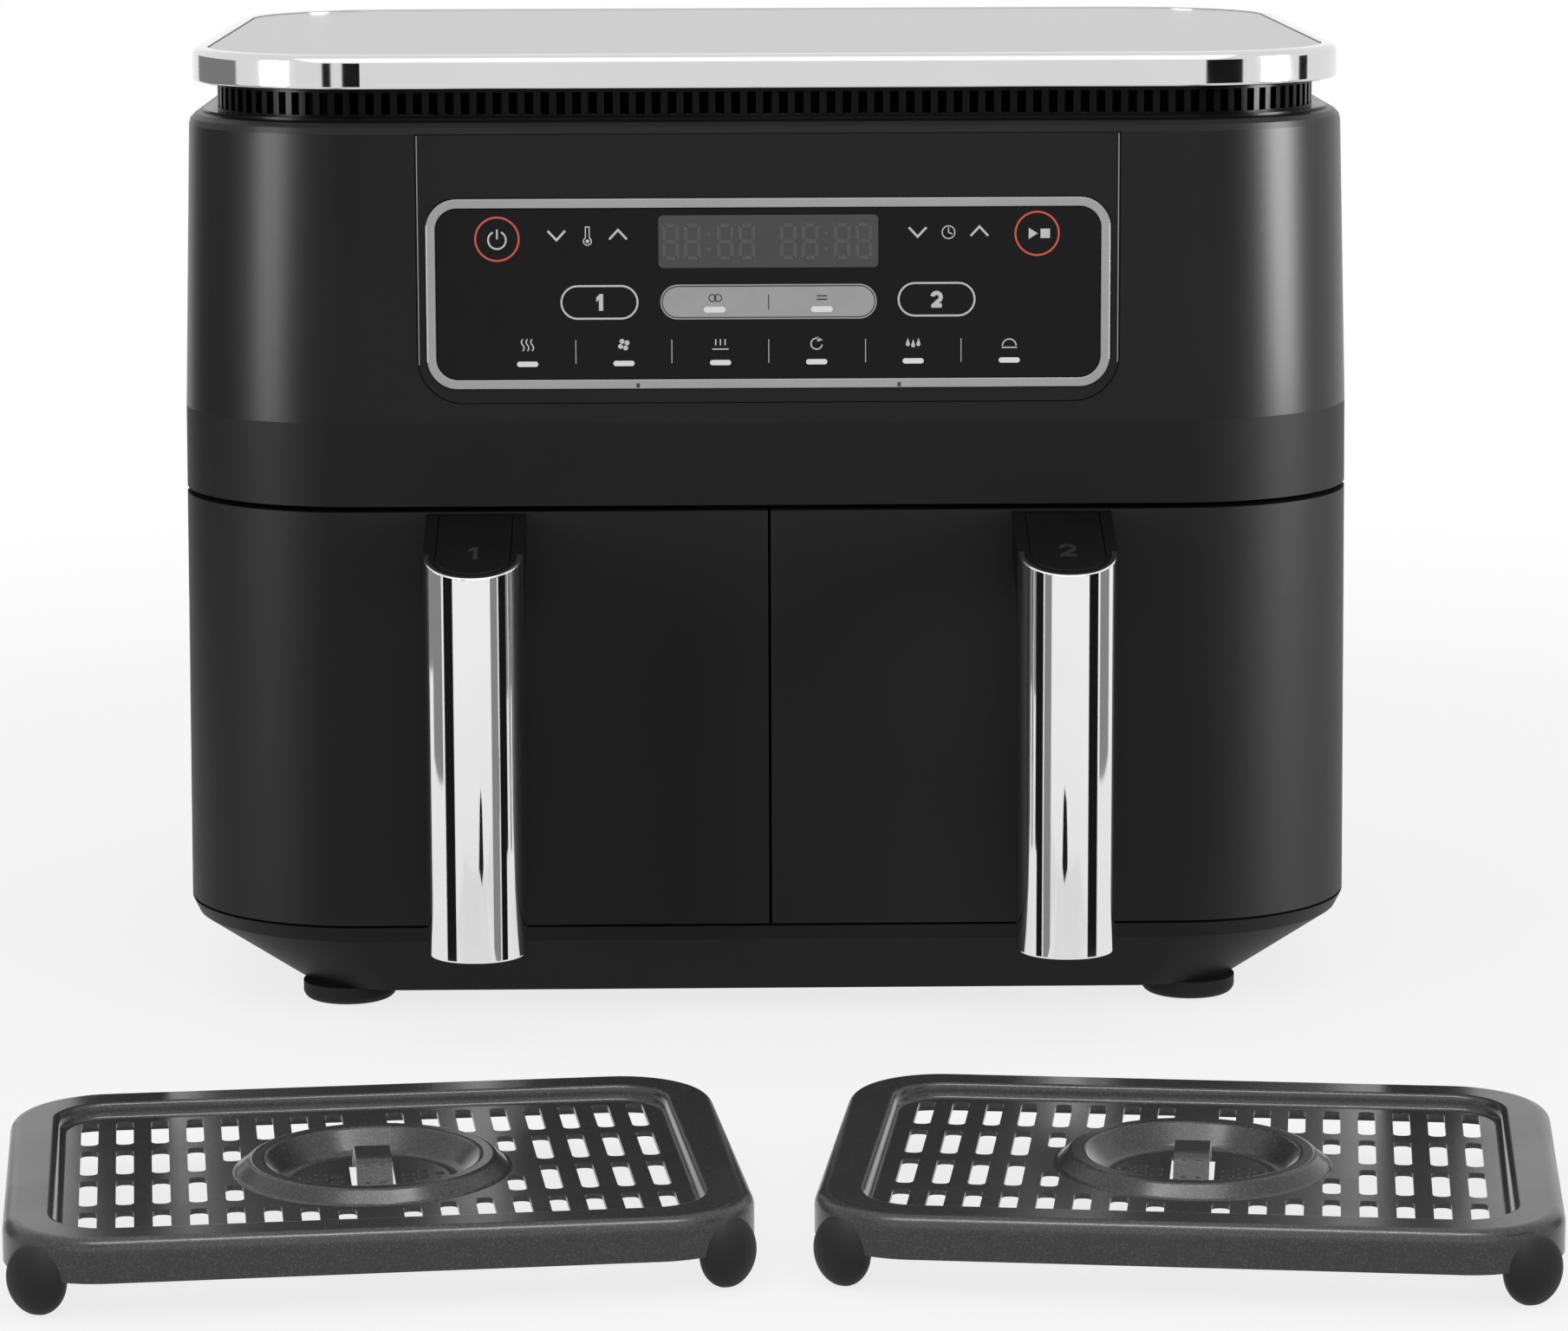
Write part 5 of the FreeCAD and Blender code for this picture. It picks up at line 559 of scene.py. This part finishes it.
BEZEL_HIGHLIGHT_INSET, BEZEL_HIGHLIGHT_LINE = 0.3, 0.3
BEZEL_HIGHLIGHT_FOOT, BEZEL_HIGHLIGHT_TOP = 217.0, 261.0
INSERT_HIGHLIGHT_INSET, INSERT_HIGHLIGHT_LINE = 0.4, 0.26
INSERT_HIGHLIGHT_FOOT, INSERT_HIGHLIGHT_GAP = 216.0, 0.3
NOTCH_PLACES, NOTCH_FOOT, NOTCH_TOP, NOTCH_WIDTH = (-42.0, 41.9), 208.5, 209.9, 1.1
bezel_face = front_of("control_bezel")
insert_face = front_of("panel_insert")
insert_low, insert_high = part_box("panel_insert")
bezel_low, bezel_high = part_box("control_bezel")
# Painted highlight strips: polished ones on the bezel's upright edges, then satin silver ones on the
# insert's.
highlight_strips = bmesh.new()
for x in (bezel_low.x / MM + BEZEL_HIGHLIGHT_INSET, bezel_high.x / MM - BEZEL_HIGHLIGHT_INSET):
    add_prism(highlight_strips, stroke([(x, BEZEL_HIGHLIGHT_FOOT), (x, BEZEL_HIGHLIGHT_TOP)], BEZEL_HIGHLIGHT_LINE), bezel_face)
settle("bezel_edge_highlights", highlight_strips, polish, "fryer")
highlight_strips = bmesh.new()
insert_highlight_top = insert_high.z / MM - INSERT_HIGHLIGHT_GAP
for x in (insert_low.x / MM + INSERT_HIGHLIGHT_INSET, insert_high.x / MM - INSERT_HIGHLIGHT_INSET):
    add_prism(highlight_strips, stroke([(x, INSERT_HIGHLIGHT_FOOT), (x, insert_highlight_top)], INSERT_HIGHLIGHT_LINE), insert_face)
settle("insert_edge_highlights", highlight_strips, silver, "fryer")
# Two dark ink strips at the bezel's foot: painted shade where its two small notch hollows are.
notch_shades = bmesh.new()
for x in NOTCH_PLACES:
    add_prism(notch_shades, stroke([(x, NOTCH_FOOT), (x, NOTCH_TOP)], NOTCH_WIDTH), bezel_face)
settle("bezel_notch_shades", notch_shades, dark_ink, "fryer")

# Air intake round the top: a ring of upright ribs under the lid.
# Smooth black moulding, screwed to the head before the lid tray goes on.

smooth, tree, shader = new_finish("vent_black", 0.2, specular_ior_level=0.08)
marks = place_group(tree, grain, grain_size=0.0008, cloud_size=0.02)
vary_colour(tree, shader, marks["Cloud"], (0.0015, 0.0015, 0.0016), (0.0025, 0.0025, 0.0026))
vary_gloss(tree, shader, marks["Cloud"], 0.16, 0.26)
coat(smooth, "vent_grille")

# Lid: polished band round a brushed steel sheet.
# The band is a chromed moulding on the lid tray; the sheet is brushed from side to side and bonded inside it.

coat(polish, "lid_band")

brushed, tree, shader = new_finish("lid_steel", 0.3, 1.0)
marks = place_group(tree, lines, line_width=0.00025, line_length=0.06)
vary_colour(tree, shader, marks["Line"], (0.42, 0.42, 0.425), (0.50, 0.50, 0.505))
vary_gloss(tree, shader, marks["Line"], 0.26, 0.4)
raise_surface(tree, shader, marks["Line"], 0.00002, 0.35)
coat(brushed, "lid_plate")

# Drawers: moulded fronts, their backing plates and the coated baskets.
# The front is moulded like the housing and screwed through its back.
# The basket is pressed steel with a dark coating.

front, tree, shader = new_finish("drawer_black", 0.5, specular_ior_level=0.13)
marks = place_group(tree, grain, grain_size=0.00035, cloud_size=0.06)
vary_colour(tree, shader, marks["Cloud"], (0.0045, 0.0045, 0.0047), (0.0065, 0.0065, 0.0068))
vary_gloss(tree, shader, marks["Height"], 0.42, 0.56)
raise_surface(tree, shader, marks["Height"], 0.00005, 0.6)
coat(front, "drawer_front_1", "drawer_front_2", "drawer_back_1", "drawer_back_2")

flecks, flecks_in, flecks_out = new_group("coating_flecks", {"Fleck Size": 0.0005, "Cloud Size": 0.02},
                                          ("Fleck", "Height", "Cloud"))
spot = add_node(flecks, "ShaderNodeTexCoord").outputs["Object"]
count = calculate(flecks, "DIVIDE", 1.0, flecks_in.outputs["Fleck Size"])
cells = add_node(flecks, "ShaderNodeTexVoronoi", {"Vector": spot, "Scale": count})
shade = add_node(flecks, "ShaderNodeSeparateColor", {"Color": cells.outputs["Color"]}).outputs["Red"]
few = add_node(flecks, "ShaderNodeMapRange", {"Value": shade, "From Min": 0.72, "From Max": 1.0})
flecks.links.new(few.outputs["Result"], flecks_out.inputs["Fleck"])
flecks.links.new(noise_at(flecks, flecks_in.outputs["Fleck Size"]), flecks_out.inputs["Height"])
flecks.links.new(noise_at(flecks, flecks_in.outputs["Cloud Size"]), flecks_out.inputs["Cloud"])

basket, tree, shader = new_finish("basket_coating", 0.4, 0.2)
marks = place_group(tree, flecks, fleck_size=0.0006, cloud_size=0.03)
vary_colour(tree, shader, marks["Fleck"], (0.02, 0.02, 0.021), (0.06, 0.06, 0.062))
vary_gloss(tree, shader, marks["Cloud"], 0.34, 0.48)
raise_surface(tree, shader, marks["Height"], 0.00003, 0.4)
coat(basket, "basket_1", "basket_2")

# Handles: black core with a thumb cap, faced with a polished cover.
# The core is moulded and screwed on from inside the drawer front.
# The cap is pressed into its top and bears the zone number.

satin, tree, shader = new_finish("handle_black", 0.4, specular_ior_level=0.2)
marks = place_group(tree, grain, grain_size=0.0004, cloud_size=0.02)
vary_colour(tree, shader, marks["Cloud"], (0.0045, 0.0045, 0.0047), (0.007, 0.007, 0.0072))
vary_gloss(tree, shader, marks["Height"], 0.34, 0.46)
raise_surface(tree, shader, marks["Height"], 0.00003, 0.4)
coat(satin, "handle_core_1", "handle_core_2", "handle_cap_1", "handle_cap_2")

chrome, tree, shader = new_finish("handle_chrome", 0.05, 1.0)
marks = place_group(tree, grain, grain_size=0.005, cloud_size=0.03)
vary_colour(tree, shader, marks["Cloud"], (0.80, 0.80, 0.805), (0.86, 0.86, 0.865))
vary_gloss(tree, shader, marks["Height"], 0.03, 0.08)
coat(chrome, "handle_cover_1", "handle_cover_2")

# The raised zone numbers are a lighter grey than the cap: a painted highlight for the light on their edges.
number_sheen, tree, shader = new_finish("cap_number_sheen", 0.3, specular_ior_level=0.5)
marks = place_group(tree, grain, grain_size=0.0004, cloud_size=0.004)
vary_colour(tree, shader, marks["Cloud"], (0.026, 0.026, 0.0265), (0.036, 0.036, 0.0365))
vary_gloss(tree, shader, marks["Height"], 0.22, 0.36)

CAP_NUMBER_PLACE, CAP_NUMBER_RISE = 13.0, 0.3
CAP_NUMBER_HEIGHT, CAP_NUMBER_LINE = 8.5, 1.5
RAY_START = 1.0
for zone in ("1", "2"):
    low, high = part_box(f"handle_cap_{zone}")
    above = Vector(((low.x + high.x) / 2, low.y + CAP_NUMBER_PLACE * MM, high.z + RAY_START))
    _, place, up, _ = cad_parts[f"handle_cap_{zone}"].ray_cast(above, Vector((0, 0, -1)))
    slope = math.atan2(-up.y, up.z)
    number = bmesh.new()
    add_prism(number, numeral(zone, 0, 0, CAP_NUMBER_HEIGHT, CAP_NUMBER_LINE), 0, rise=CAP_NUMBER_RISE)
    settle(f"cap_number_{zone}", number, number_sheen, f"drawer_{zone}",
           Matrix.Translation(place) @ Matrix.Rotation(slope - math.pi / 2, 4, "X"))

# Crisper plates: slotted steel plates with a sunk bowl and a finger bridge, on four soft corner bumpers.
# Pressed and coated dark grey with a fine metallic fleck; the silicone bumpers are hooked under the skirt.
# Mirror images leave the plates out, so that the chrome of the handles mirrors a bare table.

nonstick, tree, shader = new_finish("plate_coating", 0.26, 0.25)
marks = place_group(tree, flecks, fleck_size=0.0003, cloud_size=0.03)
vary_colour(tree, shader, marks["Fleck"], (0.030, 0.030, 0.0305), (0.070, 0.070, 0.071))
vary_gloss(tree, shader, marks["Cloud"], 0.2, 0.32)
raise_surface(tree, shader, marks["Height"], 0.00003, 0.4)
coat(nonstick, "crisper_plate_1", "crisper_plate_2")

silicone, tree, shader = new_finish("bumper_silicone", 0.6, specular_ior_level=0.25)
marks = place_group(tree, grain, grain_size=0.0006, cloud_size=0.01)
vary_colour(tree, shader, marks["Cloud"], (0.009, 0.009, 0.0091), (0.013, 0.013, 0.0131))
vary_gloss(tree, shader, marks["Cloud"], 0.52, 0.68)
raise_surface(tree, shader, marks["Height"], 0.00003, 0.4)
coat(silicone, "plate_feet_1", "plate_feet_2")
LOOSE_PLATES = ("crisper_plate_1", "crisper_plate_2", "plate_feet_1", "plate_feet_2")
for name in LOOSE_PLATES:
    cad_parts[name].visible_glossy = False

# Studio: a pale floor that keeps the shadow, an evenly lit white room, four soft lamps and a set of cards.
# One wide lamp lights all, two at the sides only shells, intake and lid band, and a slim one only the plates.
# The cards show only in gloss, where they draw dark and grey lines into the chrome.


def looked_at(tree):
    """1 where the camera, gloss or clear material sees the surface, and 0 where it only gives light."""
    rays = add_node(tree, "ShaderNodeLightPath").outputs
    seen = calculate(tree, "MAXIMUM", rays["Is Camera Ray"], rays["Is Glossy Ray"])
    return calculate(tree, "MAXIMUM", seen, rays["Is Transmission Ray"])


FLOOR_REACH, FLOOR_DROP, FLOOR_GREY = 6.0, 0.0005, 0.74
GLOW_START, GLOW_END, GLOW_NEAR = 0.5, 1.0, 0.8
ROOM_FILL = 0.75
floor_shape = bmesh.new()
bmesh.ops.create_grid(floor_shape, x_segments=1, y_segments=1, size=FLOOR_REACH)
floor_mesh = bpy.data.meshes.new("floor")
floor_shape.to_mesh(floor_mesh)
floor_shape.free()
floor = bpy.data.objects.new("floor", floor_mesh)
floor.location.z = -FLOOR_DROP
bpy.context.scene.collection.objects.link(floor)
floor_paint = bpy.data.materials.new("floor_white")
floor_paint.use_nodes = True
tree = floor_paint.node_tree
tree.nodes.clear()
seen = looked_at(tree)
spot = add_node(tree, "ShaderNodeNewGeometry").outputs["Position"]
away = add_node(tree, "ShaderNodeVectorMath", {0: spot}, operation="LENGTH").outputs["Value"]
bright = add_node(tree, "ShaderNodeMapRange", {"Value": away, "From Min": GLOW_START, "From Max": GLOW_END,
                                               "To Min": GLOW_NEAR, "To Max": 1.0})
share = calculate(tree, "MULTIPLY", seen, bright.outputs["Result"])
matte = add_node(tree, "ShaderNodeBsdfDiffuse", {"Color": (FLOOR_GREY, FLOOR_GREY, FLOOR_GREY, 1)}).outputs[0]
glow = add_node(tree, "ShaderNodeEmission", {"Color": (1, 1, 1, 1), "Strength": 1.0}).outputs[0]
mixed = add_node(tree, "ShaderNodeMixShader", {0: share, 1: matte, 2: glow}).outputs[0]
add_node(tree, "ShaderNodeOutputMaterial", {"Surface": mixed})
floor_mesh.materials.append(floor_paint)

room = bpy.data.worlds.new("white_room")
bpy.context.scene.world = room
room.use_nodes = True
tree = room.node_tree
tree.nodes.clear()
seen = looked_at(tree)
fill = add_node(tree, "ShaderNodeBackground", {"Color": (1, 1, 1, 1), "Strength": ROOM_FILL}).outputs[0]
white = add_node(tree, "ShaderNodeBackground", {"Color": (1, 1, 1, 1), "Strength": 1.0}).outputs[0]
mixed = add_node(tree, "ShaderNodeMixShader", {0: seen, 1: fill, 2: white}).outputs[0]
add_node(tree, "ShaderNodeOutputWorld", {"Surface": mixed})

shells = bpy.data.collections.new("moulded_shells")
for name in ("base_tray", "lower_housing", "upper_housing", "panel_insert", "vent_grille", "lid_band",
             "drawer_front_1", "drawer_front_2"):
    shells.objects.link(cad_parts[name])
plates = bpy.data.collections.new("loose_plates")
for name in LOOSE_PLATES:
    plates.objects.link(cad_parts[name])
for name, place, aim, width, height, power, lit in (
        ("lamp_left", (-1.69, -0.96, 0.45), (0, -0.1, 0.2), 0.6, 0.9, 31, shells),
        ("lamp_right", (1.87, -0.53, 0.45), (0, -0.1, 0.2), 0.6, 0.9, 72, shells),
        ("lamp_front", (0.0, -1.9, 1.9), (0, -0.15, 0.15), 4.0, 3.0, 20, None),
        ("lamp_plates", (0.0, -0.55, 1.4), (0, -0.385, 0.0), 0.9, 0.12, 9, plates)):
    light = bpy.data.lights.new(name, "AREA")
    light.shape = "RECTANGLE"
    light.size = width
    light.size_y = height
    light.energy = power
    holder = bpy.data.objects.new(name, light)
    holder.location = place
    holder.rotation_euler = (Vector(aim) - Vector(place)).to_track_quat("-Z", "Y").to_euler()
    holder.light_linking.receiver_collection = lit
    bpy.context.scene.collection.objects.link(holder)


def card_paint(name, level):
    """A card's even grey, as it shows in the chrome."""
    paint = bpy.data.materials.new(name)
    paint.use_nodes = True
    paint.node_tree.nodes.clear()
    grey = {"Color": (level, level, level, 1), "Strength": 1.0}
    glow = add_node(paint.node_tree, "ShaderNodeEmission", grey).outputs[0]
    add_node(paint.node_tree, "ShaderNodeOutputMaterial", {"Surface": glow})
    return paint


black_card, grey_card = card_paint("card_black", 0.01), card_paint("card_grey", 0.26)
HANDLE_CARD_TOP, LID_CARD_FOOT, LID_CARD_TOP = 0.17, 0.22, 0.36
upright_cards = (
        ("handle_card_left", (-0.184, -0.274), (-0.218, -0.228), 0.0, HANDLE_CARD_TOP, black_card),
        ("handle_card_right", (0.184, -0.274), (0.218, -0.228), 0.0, HANDLE_CARD_TOP, black_card),
        ("side_card_left", (-0.525, -0.285), (-0.560, -0.020), 0.0, HANDLE_CARD_TOP, grey_card),
        ("side_card_right", (0.525, -0.285), (0.560, -0.020), 0.0, HANDLE_CARD_TOP, grey_card),
        ("middle_card_grey", (0.0, -0.301), (0.0, -0.245), 0.0, HANDLE_CARD_TOP, grey_card),
        ("middle_card_black", (0.0, -0.238), (0.0, -0.207), 0.0, HANDLE_CARD_TOP, black_card),
        ("lid_card_left_1", (-0.323, -0.595), (-0.371, -0.577), LID_CARD_FOOT, LID_CARD_TOP, black_card),
        ("lid_card_left_2", (-0.174, -0.621), (-0.260, -0.613), LID_CARD_FOOT, LID_CARD_TOP, black_card),
        ("lid_card_left_3", (-0.830, -0.090), (-0.560, 0.410), 0.0, LID_CARD_TOP, grey_card),
        ("lid_card_right_1", (0.358, -0.596), (0.546, -0.464), LID_CARD_FOOT, LID_CARD_TOP, black_card),
        ("lid_card_right_2", (0.767, -0.048), (0.765, 0.052), LID_CARD_FOOT, LID_CARD_TOP, black_card))
slim_cards = (("slim_card_left", -0.074), ("slim_card_right", 0.085))
SLIM_CARD_DEPTH = -0.30
SLIM_CARD_OUTLINE = ((0, 0.030), (0.010, 0.036), (0.006, 0.058), (0, 0.064), (-0.006, 0.058), (-0.010, 0.036))
cards = [(name, [(*start, bottom), (*end, bottom), (*end, top), (*start, top)], paint)
         for name, start, end, bottom, top, paint in upright_cards]
cards += [(name, [(x + reach, SLIM_CARD_DEPTH, z) for reach, z in SLIM_CARD_OUTLINE], black_card)
          for name, x in slim_cards]
for name, corners, paint in cards:
    card_mesh = bpy.data.meshes.new(name)
    card_mesh.from_pydata(corners, [], [range(len(corners))])
    card_mesh.materials.append(paint)
    card = bpy.data.objects.new(name, card_mesh)
    card.visible_camera = False
    card.visible_diffuse = False
    card.visible_shadow = False
    bpy.context.scene.collection.objects.link(card)

# Camera: a long lens in front of the fryer, a little above its lid and looking slightly down.
# Its place, turn and focal length come from a fit of the housing's and plates' corners.

CAMERA_PLACE = (-0.0226, -1.7870, 0.4132)
CAMERA_YAW, CAMERA_PITCH, CAMERA_ROLL = -0.955, 8.830, -0.175
lens = bpy.data.cameras.new("camera")
lens.sensor_width = 36
lens.lens = 117.9
lens.shift_y = -0.08
lens.clip_end = 20
camera = bpy.data.objects.new("camera", lens)
yaw = Matrix.Rotation(math.radians(CAMERA_YAW), 4, "Z")
pitch = Matrix.Rotation(math.radians(90 - CAMERA_PITCH), 4, "X")
roll = Matrix.Rotation(math.radians(CAMERA_ROLL), 4, "Z")
camera.matrix_world = Matrix.Translation(CAMERA_PLACE) @ (yaw @ pitch) @ roll
bpy.context.scene.collection.objects.link(camera)
bpy.context.scene.camera = camera
bpy.context.scene.view_settings.view_transform = "Standard"
